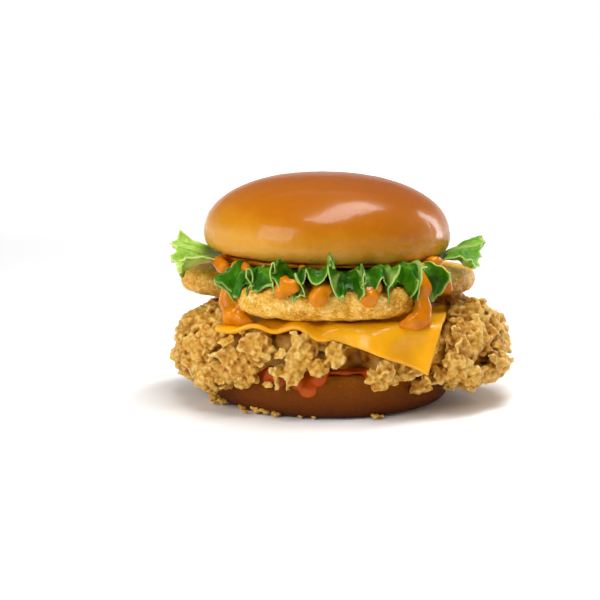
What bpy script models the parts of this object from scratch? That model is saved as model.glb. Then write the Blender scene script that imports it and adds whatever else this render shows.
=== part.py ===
"""A crispy chicken burger: bun, fried fillet, melted cheese slice, two hash browns, lettuce and orange sauce.

Units are metres. +Z is up and the front of the burger faces -Y. The origin is the centre of the
heel's flat underside. Each layer is its own closed solid and keeps a small gap to its neighbours.
"""

import math
import random

import bmesh
import bpy
from mathutils import Matrix, Vector, noise

# Driving dimensions of the stack, from the table up
BUN_RADIUS = 0.050
HEEL_HEIGHT = 0.0170
HEEL_WIDEST = 0.0095
HEEL_FOOT_RADIUS = 0.0435
LOWER_SAUCE_TOP = 0.0186
CHEESE_LEVEL = 0.0367
CHEESE_SIDE = 0.084
CHEESE_THICKNESS = 0.0020
HASH_BASE = 0.0383
HASH_HALF_THICKNESS = 0.0077
HASH_SAUCE_TOP = 0.0558
LEAF_LEVEL = 0.0567
LEAF_THICKNESS = 0.0009
CROWN_CUT = 0.0595
CROWN_WIDEST = 0.0655
CROWN_TOP = 0.0913
CLEARANCE = 0.00035

# Two ratios that fill a square evenly when their multiples are wrapped
BEARING_RATIO = 0.7548777
LIFT_RATIO = 0.5698403


def clear_scene():
    """Removes whatever the scene holds."""
    for obj in list(bpy.data.objects):
        bpy.data.objects.remove(obj, do_unlink=True)


def new_collection(name):
    """A collection linked to the scene."""
    collection = bpy.data.collections.new(name)
    bpy.context.scene.collection.children.link(collection)
    return collection


def new_material(name, colour, roughness):
    """A food finish: sRGB-like base colour, roughness and no metal."""
    made = bpy.data.materials.new(name)
    made.use_nodes = True
    shader = made.node_tree.nodes["Principled BSDF"]
    shader.inputs["Base Color"].default_value = (*colour, 1.0)
    shader.inputs["Roughness"].default_value = roughness
    shader.inputs["Metallic"].default_value = 0.0
    made.diffuse_color = (*colour, 1.0)
    return made


def add_object(name, bm, collection, finish=None):
    """Turns a bmesh into a smooth-shaded object of the collection."""
    mesh = bpy.data.meshes.new(name)
    bm.to_mesh(mesh)
    bm.free()
    mesh.shade_smooth()
    if finish:
        mesh.materials.append(finish)
    obj = bpy.data.objects.new(name, mesh)
    collection.objects.link(obj)
    return obj


def as_cutter(obj):
    """Marks an object as a helper that isn't part of the burger."""
    obj.hide_render = True
    obj.display_type = "WIRE"
    return obj


def signed_power(value, exponent):
    return math.copysign(abs(value) ** exponent, value)


def smoothstep(value):
    value = min(1.0, max(0.0, value))
    return value * value * (3.0 - 2.0 * value)


def superellipsoid(direction, semi, flank, outline):
    """Point of a rounded block. A flank below 1 steepens its sides, an outline below 1 squares its plan."""
    turn = math.atan2(direction.y, direction.x)
    lift = math.asin(max(-1.0, min(1.0, direction.z)))
    flat = abs(math.cos(lift)) ** flank
    return Vector(
        (
            semi.x * flat * signed_power(math.cos(turn), outline),
            semi.y * flat * signed_power(math.sin(turn), outline),
            semi.z * signed_power(math.sin(lift), flank),
        )
    )


def apply_boolean(target, operation, solver, cutter=None, collection=None):
    """Cuts or joins with one Boolean modifier and keeps the result as the target's mesh."""
    modifier = target.modifiers.new(operation.title(), "BOOLEAN")
    modifier.operation = operation
    modifier.solver = solver
    if collection:
        modifier.operand_type = "COLLECTION"
        modifier.collection = collection
    else:
        modifier.object = cutter
    graph = bpy.context.evaluated_depsgraph_get()
    result = bpy.data.meshes.new_from_object(target.evaluated_get(graph))
    target.modifiers.clear()
    target.data = result


def drop_scraps(obj):
    """Keeps only the largest shell, so that no cut-off scrap or sealed hollow is left."""
    bm = bmesh.new()
    bm.from_mesh(obj.data)
    unseen = set(bm.faces)
    shells = []
    while unseen:
        shell, queue = [], [unseen.pop()]
        while queue:
            face = queue.pop()
            shell.append(face)
            for edge in face.edges:
                for other in edge.link_faces:
                    if other in unseen:
                        unseen.remove(other)
                        queue.append(other)
        shells.append(shell)
    largest = max(shells, key=len)
    loose = [face for shell in shells if shell is not largest for face in shell]
    bmesh.ops.delete(bm, geom=loose, context="FACES")
    bm.to_mesh(obj.data)
    bm.free()


def remove_collection(collection):
    """Removes a helper collection with its objects."""
    for obj in list(collection.objects):
        bpy.data.objects.remove(obj, do_unlink=True)
    bpy.data.collections.remove(collection)


# Bun

CROWN_TUCK = 0.0055
CROWN_FULLNESS = 0.90
CROWN_CENTRE = Vector((-0.0012, 0.0, 0.0))
CROWN_TILT = math.radians(1.2)
BUN_WOBBLE = 0.0007
BUN_WOBBLE_SCALE = 34.0
HEEL_LIP_RADIUS = 0.0475


def crown_profile(share, grow):
    """(radius, height) on the crown's outline, from the top at 0 to the centre of the cut face at 1."""
    dome_end, tuck_end = 0.62, 0.84
    if share < dome_end:
        angle = share / dome_end * math.pi / 2
        radius = (BUN_RADIUS + grow) * math.sin(angle) ** CROWN_FULLNESS
        rise = (CROWN_TOP - CROWN_WIDEST + grow) * math.cos(angle) ** CROWN_FULLNESS
        return radius, CROWN_WIDEST + rise
    cut = CROWN_CUT - grow
    if share < tuck_end:
        angle = (share - dome_end) / (tuck_end - dome_end) * math.pi / 2
        radius = BUN_RADIUS + grow - CROWN_TUCK * (1.0 - math.cos(angle))
        return radius, CROWN_WIDEST - (CROWN_WIDEST - cut) * math.sin(angle)
    left = (1.0 - share) / (1.0 - tuck_end)
    return (BUN_RADIUS + grow - CROWN_TUCK) * left, cut


def heel_profile(share, grow):
    """(radius, height) on the heel's outline, from the centre of its cut face at 0 to its foot at 1."""
    face_end, lip_end, foot_start = 0.16, 0.46, 0.80
    top = HEEL_HEIGHT + grow
    if share < face_end:
        return (HEEL_LIP_RADIUS + grow - 0.0008) * share / face_end, top
    if share < lip_end:
        angle = (share - face_end) / (lip_end - face_end) * math.pi / 2
        radius = HEEL_LIP_RADIUS + (BUN_RADIUS - HEEL_LIP_RADIUS) * math.sin(angle)
        return radius + grow, HEEL_WIDEST + (top - HEEL_WIDEST) * math.cos(angle) ** 0.8
    if share < foot_start:
        angle = (share - lip_end) / (foot_start - lip_end) * math.pi / 2
        radius = HEEL_FOOT_RADIUS + (BUN_RADIUS - HEEL_FOOT_RADIUS) * math.cos(angle) ** 0.8
        return radius + grow, HEEL_WIDEST - (HEEL_WIDEST + grow) * math.sin(angle)
    return (HEEL_FOOT_RADIUS + grow) * (1.0 - share) / (1.0 - foot_start), -grow


def turned_ball(bm, profile, steps, rings, grow):
    """A ball whose rings are moved onto a turned outline."""
    bmesh.ops.create_uvsphere(bm, u_segments=steps, v_segments=rings, radius=1.0)
    for vert in bm.verts:
        share = math.acos(max(-1.0, min(1.0, vert.co.z))) / math.pi
        radius, height = profile(min(1.0, max(0.0, share)), grow)
        turn = math.atan2(vert.co.y, vert.co.x)
        if share < 0.001 or share > 0.999:
            radius = 0.0
        wobble = BUN_WOBBLE * noise.noise(Vector((math.cos(turn), math.sin(turn), height * BUN_WOBBLE_SCALE)))
        radius = max(0.0, radius + wobble * min(1.0, radius / BUN_RADIUS))
        vert.co = (radius * math.cos(turn), radius * math.sin(turn), height)


def bun_crown(name, collection, finish=None, grow=0.0):
    """The domed top half, leaning a little to the right."""
    bm = bmesh.new()
    turned_ball(bm, crown_profile, 28, 13, grow)
    pivot = Matrix.Translation((0.0, 0.0, CROWN_CUT))
    lean = pivot @ Matrix.Rotation(CROWN_TILT, 4, "Y") @ pivot.inverted()
    bmesh.ops.transform(bm, matrix=Matrix.Translation(CROWN_CENTRE) @ lean, verts=bm.verts)
    return add_object(name, bm, collection, finish)


def bun_heel(name, collection, finish=None, grow=0.0):
    """The lower half, flat on top where it was cut and flat underneath where it was baked."""
    bm = bmesh.new()
    turned_ball(bm, heel_profile, 26, 10, grow)
    return add_object(name, bm, collection, finish)


# Hash browns

HASH_FLANK = 0.60
BACK_HASH_CENTRE = Vector((-0.0005, 0.0135, HASH_BASE + HASH_HALF_THICKNESS))
BACK_HASH_SEMI = Vector((0.0615, 0.0280, HASH_HALF_THICKNESS))
FRONT_HASH_CENTRE = Vector((-0.0020, -0.0350, HASH_BASE + HASH_HALF_THICKNESS))
FRONT_HASH_SEMI = Vector((0.0345, 0.0198, HASH_HALF_THICKNESS))
FRONT_HASH_DIP = math.radians(2.0)
FRONT_HASH_OUTLINE = 0.72
HASH_RELIEF = 0.0007
HASH_RELIEF_SCALE = 210.0


def hash_brown(name, collection, centre, semi, outline, dip, finish=None, grow=0.0):
    """A rounded potato patty with an uneven fried surface."""
    bm = bmesh.new()
    bmesh.ops.create_uvsphere(bm, u_segments=24, v_segments=9, radius=1.0)
    grown = semi + Vector((grow, grow, grow))
    tip = Matrix.Rotation(dip, 3, "X")
    for vert in bm.verts:
        outward = vert.co.copy()
        point = superellipsoid(outward, grown, HASH_FLANK, outline)
        point += outward * HASH_RELIEF * noise.noise((point + centre) * HASH_RELIEF_SCALE)
        vert.co = centre + tip @ point
    return add_object(name, bm, collection, finish)


def hash_brown_back(name, collection, finish=None, grow=0.0):
    return hash_brown(name, collection, BACK_HASH_CENTRE, BACK_HASH_SEMI, 0.86, 0.0, finish, grow)


def hash_brown_front(name, collection, finish=None, grow=0.0):
    return hash_brown(
        name, collection, FRONT_HASH_CENTRE, FRONT_HASH_SEMI, FRONT_HASH_OUTLINE, FRONT_HASH_DIP, finish, grow
    )


def hash_top(x, y):
    """Height of the front hash brown's upper face over a point, or the foot of the stack beside it."""
    centre, semi = FRONT_HASH_CENTRE, FRONT_HASH_SEMI
    power = 2.0 / FRONT_HASH_OUTLINE
    spread = (abs(x - centre.x) / semi.x) ** power + (abs(y - centre.y) / semi.y) ** power
    flat = spread ** (1.0 / power)
    if flat >= 1.0:
        return 0.0
    return centre.z + semi.z * (1.0 - flat ** (2.0 / HASH_FLANK)) ** (HASH_FLANK / 2.0)


# Cheese slice

CHEESE_CENTRE = Vector((0.0066, -0.0146))
CHEESE_TURN = math.radians(-15.0)
CHEESE_STEPS = 15
FOLD_LINE = -0.0480
FOLD_CURVE = 3.5
BEND_RADIUS = 0.0060
BEND_LIMIT = math.radians(74.0)
FLAP_WAVE = 0.0022
FLAP_WAVE_LENGTH = 0.027
EDGE_WAVE = 0.0009
EDGE_WAVE_LENGTH = 0.0175
LEFT_SAG = 0.0026
BUNCH_START = 0.040
BUNCH_REACH = 0.0075


def draped_cheese(flat_x, flat_y):
    """Where a point of the flat slice lies once the slice has melted over the fillet's front."""
    cosine, sine = math.cos(CHEESE_TURN), math.sin(CHEESE_TURN)
    x = CHEESE_CENTRE.x + flat_x * cosine - flat_y * sine
    if x > BUNCH_START:
        x = BUNCH_START + BUNCH_REACH * math.tanh((x - BUNCH_START) / BUNCH_REACH)
    y = CHEESE_CENTRE.y + flat_x * sine + flat_y * cosine
    z = CHEESE_LEVEL
    fold = FOLD_LINE + FOLD_CURVE * max(0.0, x) ** 2
    beyond = fold - y
    if beyond > 0.0:
        bend = min(beyond / BEND_RADIUS, BEND_LIMIT)
        rest = beyond - bend * BEND_RADIUS
        y = fold - BEND_RADIUS * math.sin(bend) - rest * math.cos(bend)
        z -= BEND_RADIUS * (1.0 - math.cos(bend)) + rest * math.sin(bend)
        hang = smoothstep(beyond / 0.012)
        y -= FLAP_WAVE * hang * math.sin((x - 0.012) / FLAP_WAVE_LENGTH * math.tau)
    near_edge = smoothstep((beyond + 0.006) / 0.006) * smoothstep((0.004 - x) / 0.012)
    z += EDGE_WAVE * near_edge * math.sin(x / EDGE_WAVE_LENGTH * math.tau)
    z -= LEFT_SAG * smoothstep((-0.018 - x) / 0.026) * smoothstep((0.010 - y) / 0.030)
    return Vector((x, y, z))


def cheese_slice(name, collection, finish=None, grow=0.0):
    """A square slice, turned a little, whose front corner hangs down over the fillet."""
    bm = bmesh.new()
    bmesh.ops.create_grid(bm, x_segments=CHEESE_STEPS, y_segments=CHEESE_STEPS, size=CHEESE_SIDE / 2 + grow)
    for vert in bm.verts:
        vert.co = draped_cheese(vert.co.x, vert.co.y)
    bmesh.ops.triangulate(bm, faces=bm.faces)
    bmesh.ops.recalc_face_normals(bm, faces=bm.faces)
    obj = add_object(name, bm, collection, finish)
    shell = obj.modifiers.new("Thickness", "SOLIDIFY")
    shell.thickness = CHEESE_THICKNESS + 2.0 * grow
    shell.offset = 0.0
    return obj


# Lettuce

RUFFLE_START = 0.0450
LEAF_INNER_RADIUS = 0.009
LEAF_REST = 0.0017


def leaf_point(turn, share, leaf, beyond=0.0):
    """A point of a leaf: turn is the angle from the front towards the right, share runs from stem to rim."""
    rim = leaf["rim"] * (1.0 + leaf["ragged"] * noise.noise(Vector((turn * 5.0, leaf["seed"], 0.0))))
    radius = LEAF_INNER_RADIUS + (rim - LEAF_INNER_RADIUS) * share + beyond
    ruffle = smoothstep((radius - RUFFLE_START) / (leaf["rim"] - RUFFLE_START))
    wave = math.sin(turn * leaf["waves"] + leaf["seed"])
    second = math.sin(turn * leaf["waves"] * 0.62 + 2.1 * leaf["seed"])
    away = abs(turn - leaf["middle"]) - leaf["level_span"]
    lift = leaf["lift"] - leaf["droop"] * smoothstep(away / 0.35) + leaf["slope"] * (turn - leaf["middle"])
    height = LEAF_LEVEL + ruffle * (lift + leaf["height"] * (0.60 * wave + 0.55 * second))
    sway = ruffle * leaf["sway"] * math.cos(turn * leaf["waves"] + leaf["seed"])
    angle = turn + sway / rim
    x, y = radius * math.sin(angle), -radius * math.cos(angle)
    return Vector((x, y, max(height, hash_top(x, y) + LEAF_REST)))


LEAVES = {
    "lettuce_front": {
        "start": -46.0,
        "end": 52.0,
        "steps": 48,
        "rings": 5,
        "rim": 0.0560,
        "ragged": 0.05,
        "waves": 29.0,
        "height": 0.0058,
        "lift": 0.0042,
        "middle": 0.02,
        "level_span": 0.30,
        "droop": 0.0072,
        "slope": 0.0,
        "sway": 0.0016,
        "seed": 1.3,
    },
    "lettuce_back": {
        "start": 128.0,
        "end": 232.0,
        "steps": 30,
        "rings": 4,
        "rim": 0.0550,
        "ragged": 0.05,
        "waves": 21.0,
        "height": 0.0050,
        "lift": 0.0034,
        "middle": 3.14,
        "level_span": 0.40,
        "droop": 0.0050,
        "slope": 0.0,
        "sway": 0.0015,
        "seed": 4.1,
    },
    "lettuce_left": {
        "start": -100.0,
        "end": -66.0,
        "steps": 9,
        "rings": 5,
        "rim": 0.0640,
        "ragged": 0.06,
        "waves": 7.0,
        "height": 0.0036,
        "lift": 0.0050,
        "middle": -1.45,
        "level_span": 1.0,
        "droop": 0.0,
        "slope": -0.0200,
        "sway": 0.0010,
        "seed": 2.6,
    },
    "lettuce_right": {
        "start": 64.0,
        "end": 96.0,
        "steps": 9,
        "rings": 5,
        "rim": 0.0595,
        "ragged": 0.06,
        "waves": 6.0,
        "height": 0.0045,
        "lift": 0.0045,
        "middle": 1.4,
        "level_span": 1.0,
        "droop": 0.0,
        "slope": 0.0240,
        "sway": 0.0010,
        "seed": 0.4,
    },
}


def lettuce_leaf(name, collection, finish=None, grow=0.0):
    """A thin leaf that lies flat inside the burger and ruffles where it comes out."""
    leaf = LEAVES[name.removeprefix("cut_")]
    start, end = math.radians(leaf["start"]), math.radians(leaf["end"])
    bm = bmesh.new()
    bmesh.ops.create_grid(bm, x_segments=leaf["steps"], y_segments=leaf["rings"], size=0.5)
    for vert in bm.verts:
        across, share = vert.co.x + 0.5, vert.co.y + 0.5
        share = share**0.6
        beyond = grow if share > 0.999 else -grow if share < 0.001 else 0.0
        side = 1.0 if across > 0.999 else -1.0 if across < 0.001 else 0.0
        radius = LEAF_INNER_RADIUS + (leaf["rim"] - LEAF_INNER_RADIUS) * share
        turn = start + (end - start) * across + side * grow / radius
        vert.co = leaf_point(turn, share, leaf, beyond)
    bmesh.ops.triangulate(bm, faces=bm.faces)
    bmesh.ops.recalc_face_normals(bm, faces=bm.faces)
    obj = add_object(name, bm, collection, finish)
    shell = obj.modifiers.new("Thickness", "SOLIDIFY")
    shell.thickness = LEAF_THICKNESS + 2.0 * grow
    shell.offset = 0.0
    return obj


# Sauces

SAUCE_SIDES = 32
DRIP_TIP_REACH = 0.8
DRIP_TIP_SHARE = 0.55
HASH_SAUCE_RADIUS = 0.0440
CROWN_SAUCE_RADIUS = 0.0432
LOWER_SAUCE_RADIUS = 0.0455

# Each drip is a row of (x, y, z, radius) down its run
HASH_DRIPS = (
    (
        (-0.0280, -0.0260, 0.0536, 0.0022),
        (-0.0360, -0.0300, 0.0532, 0.0030),
        (-0.0398, -0.0325, 0.0505, 0.0040),
        (-0.0404, -0.0330, 0.0440, 0.0042),
        (-0.0388, -0.0350, 0.0372, 0.0054),
    ),
    ((-0.0178, -0.0400, 0.0534, 0.0024), (-0.0178, -0.0500, 0.0534, 0.0034), (-0.0178, -0.0545, 0.0530, 0.0036)),
    ((-0.0045, -0.0400, 0.0534, 0.0024), (-0.0045, -0.0510, 0.0532, 0.0032), (-0.0048, -0.0556, 0.0516, 0.0040)),
    ((0.0128, -0.0400, 0.0534, 0.0022), (0.0128, -0.0510, 0.0532, 0.0030), (0.0130, -0.0554, 0.0510, 0.0036)),
    (
        (0.0300, -0.0300, 0.0534, 0.0024),
        (0.0330, -0.0385, 0.0526, 0.0038),
        (0.0345, -0.0425, 0.0490, 0.0040),
        (0.0345, -0.0430, 0.0440, 0.0042),
        (0.0335, -0.0438, 0.0370, 0.0058),
    ),
    ((0.0370, -0.0165, 0.0540, 0.0018), (0.0435, -0.0195, 0.0540, 0.0030), (0.0456, -0.0208, 0.0512, 0.0033)),
)
CROWN_DRIPS = (
    ((-0.0280, -0.0270, 0.0588, 0.0010), (-0.0345, -0.0315, 0.0578, 0.0024)),
    ((-0.0400, -0.0200, 0.0588, 0.0010), (-0.0430, -0.0225, 0.0576, 0.0024)),
    ((0.0340, -0.0250, 0.0588, 0.0010), (0.0380, -0.0285, 0.0578, 0.0024)),
)
# Each drip over the heel's edge is (bearing from the front in degrees, height of its end, half width)
HEEL_DRIPS = (
    (-36.0, 0.0126, 0.0046),
    (-25.0, 0.0116, 0.0052),
    (-11.0, 0.0090, 0.0048),
    (24.0, 0.0104, 0.0050),
    (43.0, 0.0100, 0.0048),
    (150.0, 0.0110, 0.0052),
    (171.0, 0.0095, 0.0052),
    (205.0, 0.0115, 0.0052),
)
HEEL_DRIP_PROUD = 0.0014
HEEL_SAUCE_CREEP = 0.0008
HEEL_SAUCE_GAP = 2.0 * CLEARANCE
HEEL_SAUCE_STEPS = 72
HEEL_SAUCE_BANDS = 4


def sauce_sheet(name, collection, radius, low, high, ragged):
    """The thin uneven puddle that a sauce makes between two layers."""
    bm = bmesh.new()
    bmesh.ops.create_cone(
        bm,
        cap_ends=True,
        cap_tris=True,
        segments=SAUCE_SIDES,
        radius1=radius,
        radius2=radius,
        depth=high - low,
        matrix=Matrix.Translation((0.0, 0.0, (high + low) / 2)),
    )
    for vert in bm.verts:
        stretch = 1.0 + ragged * noise.noise(Vector((vert.co.x, vert.co.y, 0.0)) * 60.0)
        vert.co.x *= stretch
        vert.co.y *= stretch
    return add_object(name, bm, collection)


def sauce_drip(name, collection, run, grow):
    """One drip: a round rope of sauce along its run, swelling towards its end."""
    curve = bpy.data.curves.new(name, "CURVE")
    curve.dimensions = "3D"
    curve.bevel_depth = 1.0
    curve.bevel_resolution = 1
    curve.use_fill_caps = True
    spline = curve.splines.new("POLY")
    end, before = Vector(run[-1][:3]), Vector(run[-2][:3])
    tip = end + (end - before).normalized() * run[-1][3] * DRIP_TIP_REACH
    points = [*run, (*tip, run[-1][3] * DRIP_TIP_SHARE)]
    spline.points.add(len(points) - 1)
    for point, (x, y, z, radius) in zip(spline.points, points):
        point.co = (x, y, z, 1.0)
        point.radius = radius + grow
    guide = bpy.data.objects.new(name + "_run", curve)
    collection.objects.link(guide)
    graph = bpy.context.evaluated_depsgraph_get()
    mesh = bpy.data.meshes.new_from_object(guide.evaluated_get(graph))
    bpy.data.objects.remove(guide, do_unlink=True)
    bm = bmesh.new()
    bm.from_mesh(mesh)
    bmesh.ops.remove_doubles(bm, verts=bm.verts, dist=0.00002)
    bmesh.ops.recalc_face_normals(bm, faces=bm.faces)
    return add_object(name, bm, collection)


def poured_sauce(name, collection, finish, sheet, drips, grow=0.0):
    """The puddle and its drips joined into one body."""
    radius, low, high, ragged = sheet
    body = sauce_sheet(name, collection, radius + grow, low - grow, high + grow, ragged)
    if finish:
        body.data.materials.append(finish)
    pieces = new_collection(name + "_pieces")
    for index, run in enumerate(drips):
        sauce_drip(f"{name}_drip_{index}", pieces, run, grow)
    apply_boolean(body, "UNION", "MANIFOLD", collection=pieces)
    remove_collection(pieces)
    return body


HASH_SHEET = (HASH_SAUCE_RADIUS, 0.0545, HASH_SAUCE_TOP, 0.03)
CROWN_SHEET = (CROWN_SAUCE_RADIUS, LEAF_LEVEL + 0.0009, CROWN_CUT - CLEARANCE, 0.03)


def heel_sauce_reach(turn, grow):
    """How far the sauce has crept down the heel at a bearing, and how proud it stands there, from 0 to 1."""
    reach, proud = HEEL_SAUCE_CREEP + grow, 0.0
    for bearing, end_height, half_width in HEEL_DRIPS:
        apart = math.remainder(turn - math.radians(bearing), math.tau) * BUN_RADIUS / (half_width + grow)
        if abs(apart) < 1.0:
            bulge = math.sqrt(1.0 - apart * apart)
            reach = max(reach, (HEEL_HEIGHT - end_height + grow) * bulge ** 0.6)
            proud = max(proud, bulge)
    return reach, proud


def heel_flank(turn, height):
    """The heel's radius at a bearing and a height between its widest ring and its top."""
    rise = max(0.0, min(1.0, (height - HEEL_WIDEST) / (HEEL_HEIGHT - HEEL_WIDEST)))
    radius = HEEL_LIP_RADIUS + (BUN_RADIUS - HEEL_LIP_RADIUS) * math.sqrt(1.0 - rise**2.5)
    around = Vector((math.sin(turn), -math.cos(turn), height * BUN_WOBBLE_SCALE))
    return radius + BUN_WOBBLE * noise.noise(around)


def sauce_lower(name, collection, finish=None, grow=0.0):
    """The sauce under the fillet: a puddle whose rim creeps down over the heel's edge in broad drips."""
    bands = HEEL_SAUCE_BANDS
    rings = 2 * bands + 4
    bm = bmesh.new()
    bmesh.ops.create_uvsphere(bm, u_segments=HEEL_SAUCE_STEPS, v_segments=rings, radius=1.0)
    top, base = LOWER_SAUCE_TOP + grow, HEEL_HEIGHT + HEEL_SAUCE_GAP - grow
    for vert in bm.verts:
        turn = math.atan2(vert.co.x, -vert.co.y)
        ring = round(math.acos(max(-1.0, min(1.0, vert.co.z))) / math.pi * rings)
        outside = ring <= bands + 2
        level = top if outside else base
        step = (ring if outside else rings - ring) - 2
        around = Vector((math.cos(turn), math.sin(turn), 0.0))
        rim = LOWER_SAUCE_RADIUS * (1.0 + 0.02 * noise.noise(around * 3.0)) + grow
        reach, proud = heel_sauce_reach(turn, grow)
        if step < 0:
            radius, height = (0.6 * rim if step == -1 else 0.0), level
        elif step == 0:
            radius, height = rim, level
        else:
            along = (step - 1) / (bands - 1)
            height = level - (level - base + reach) * along
            radius = heel_flank(turn, height) + HEEL_SAUCE_GAP
            if outside:
                radius += grow + HEEL_DRIP_PROUD * (0.3 + 0.7 * proud) * math.sqrt(1.0 - 0.8 * along * along)
            else:
                radius -= grow
        vert.co = (radius * math.sin(turn), -radius * math.cos(turn), height)
    bmesh.ops.recalc_face_normals(bm, faces=bm.faces)
    return add_object(name, bm, collection, finish)


def sauce_hash(name, collection, finish=None, grow=0.0):
    return poured_sauce(name, collection, finish, HASH_SHEET, HASH_DRIPS, grow)


# Fried fillet

FILLET_CENTRE = Vector((0.0050, -0.0020, 0.0245))
FILLET_SEMI = Vector((0.0645, 0.0495, 0.0145))
FILLET_FLANK = 0.62
FILLET_OUTLINE = 0.88
FILLET_LUMP = 0.0040
FILLET_LUMP_SCALE = 82.0
CREVICE_TURN = math.radians(-86.0)
CREVICE_WIDTH = math.radians(8.0)
CREVICE_DEPTH = 0.0100
END_DROOP = 0.0035
FLAKE_COUNT = 42
NODULE_COUNT = 12
FLAKE_SEED = 22

# Big lumps of batter that hang over the heel or curl up, as (x, y, z, half length, half depth, half height)
LOBES = (
    (-0.0545, -0.022, 0.0320, 0.0080, 0.0080, 0.0080),
    (-0.0570, -0.010, 0.0170, 0.0075, 0.0090, 0.0080),
    (-0.0490, -0.031, 0.0140, 0.0080, 0.0075, 0.0080),
    (-0.0520, 0.022, 0.0150, 0.0080, 0.0090, 0.0070),
    (0.0570, -0.022, 0.0370, 0.0085, 0.0070, 0.0085),
    (0.0640, -0.006, 0.0280, 0.0085, 0.0090, 0.0090),
    (0.0620, -0.014, 0.0160, 0.0070, 0.0080, 0.0080),
    (0.0540, -0.027, 0.0135, 0.0070, 0.0070, 0.0075),
    (0.0590, 0.022, 0.0200, 0.0080, 0.0090, 0.0090),
)


def fillet_point(turn, lift):
    """A point of the fillet's batter without its flakes, by bearing and by angle above its middle."""
    direction = Vector(
        (math.cos(lift) * math.cos(turn), math.cos(lift) * math.sin(turn), math.sin(lift))
    )
    point = superellipsoid(direction, FILLET_SEMI, FILLET_FLANK, FILLET_OUTLINE)
    crevice = math.exp(-(((turn - CREVICE_TURN) / CREVICE_WIDTH) ** 2))
    level = Vector((point.x, point.y, 0.0))
    if level.length > 0.001:
        point -= level.normalized() * CREVICE_DEPTH * crevice * abs(math.cos(lift))
    point += direction * FILLET_LUMP * noise.noise(point * FILLET_LUMP_SCALE)
    point.z -= END_DROOP * smoothstep((abs(point.x) - 0.042) / 0.018)
    return FILLET_CENTRE + point


def fillet_normal(turn, lift):
    """The outward direction there, from two short steps along the surface."""
    step = 0.02
    along = fillet_point(turn + step, lift) - fillet_point(turn - step, lift)
    upward = fillet_point(turn, lift + step) - fillet_point(turn, lift - step)
    return along.cross(upward).normalized()


def flake_sites(count, seed, spread, sizes, tilt):
    """Evenly spread places round the fillet's side, each with its own turn, tilt and size."""
    draw = random.Random(seed)
    for index in range(count):
        turn = math.tau * ((index * BEARING_RATIO) % 1.0) - math.pi
        lift = spread * (2.0 * ((index * LIFT_RATIO) % 1.0) - 1.0) + 0.05 * draw.uniform(-1, 1)
        normal = fillet_normal(turn, lift)
        place = fillet_point(turn, lift)
        length = draw.uniform(*sizes)
        width = length * draw.uniform(0.55, 0.85)
        leaning = Matrix.Rotation(draw.uniform(0, math.tau), 3, normal)
        tangent = leaning @ normal.orthogonal().normalized()
        plate = Matrix.Rotation(math.radians(draw.uniform(*tilt)), 3, tangent) @ normal
        across = plate.cross(tangent).normalized()
        frame = Matrix((tangent, across, plate)).transposed()
        yield place + normal * draw.uniform(0.0010, 0.0028), frame, length, width, draw.uniform(0, 100)


def batter_flake(name, collection, site, thickness, segments, rings, bend):
    """A bent, ragged plate of fried batter."""
    place, frame, length, width, seed = site
    bm = bmesh.new()
    bmesh.ops.create_uvsphere(bm, u_segments=segments, v_segments=rings, radius=1.0)
    offset = Vector((seed, 0.0, 0.0))
    for vert in bm.verts:
        ball = vert.co.copy()
        ragged = 1.0 + 0.30 * noise.noise(ball * 1.6 + offset)
        local = Vector(
            (
                ball.x * length / 2 * ragged,
                ball.y * width / 2 * ragged,
                ball.z * thickness / 2 + bend * length * (ball.x * ball.x - 0.35),
            )
        )
        vert.co = place + frame @ local
    return add_object(name, bm, collection)


def fillet_body(name, collection, finish):
    """The battered fillet: a lumpy body with its flakes and nodules fused on."""
    bm = bmesh.new()
    bmesh.ops.create_uvsphere(bm, u_segments=32, v_segments=12, radius=1.0)
    for vert in bm.verts:
        turn = math.atan2(vert.co.y, vert.co.x)
        lift = math.asin(max(-1.0, min(1.0, vert.co.z)))
        vert.co = fillet_point(turn, lift)
    body = add_object(name, bm, collection, finish)
    pieces = new_collection("batter")
    for index, (x, y, z, *semi) in enumerate(LOBES):
        site = (Vector((x, y, z)), Matrix.Identity(3), 2.0 * semi[0], 2.0 * semi[1], float(index))
        batter_flake(f"lobe_{index}", pieces, site, 2.0 * semi[2], 8, 6, 0.0)
    spread = math.radians(42.0)
    flakes = flake_sites(FLAKE_COUNT, FLAKE_SEED, spread, (0.0095, 0.0150), (20.0, 65.0))
    for index, site in enumerate(flakes):
        batter_flake(f"flake_{index}", pieces, site, 0.0046, 6, 4, 0.10)
    nodules = flake_sites(NODULE_COUNT, FLAKE_SEED + 1, spread, (0.0045, 0.0070), (0.0, 60.0))
    for index, site in enumerate(nodules):
        batter_flake(f"nodule_{index}", pieces, site, 0.0044, 5, 3, 0.0)
    apply_boolean(body, "UNION", "MANIFOLD", collection=pieces)
    remove_collection(pieces)
    return body


def cut_clear(body, cutters, makers, solver="EXACT"):
    """Cuts a body back from its neighbours, so that a small gap is left all round them."""
    for name, maker in makers:
        cutter = as_cutter(maker("cut_" + name, cutters, grow=CLEARANCE))
        apply_boolean(body, "DIFFERENCE", solver, cutter=cutter)
        bpy.data.objects.remove(cutter, do_unlink=True)
    drop_scraps(body)


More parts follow.
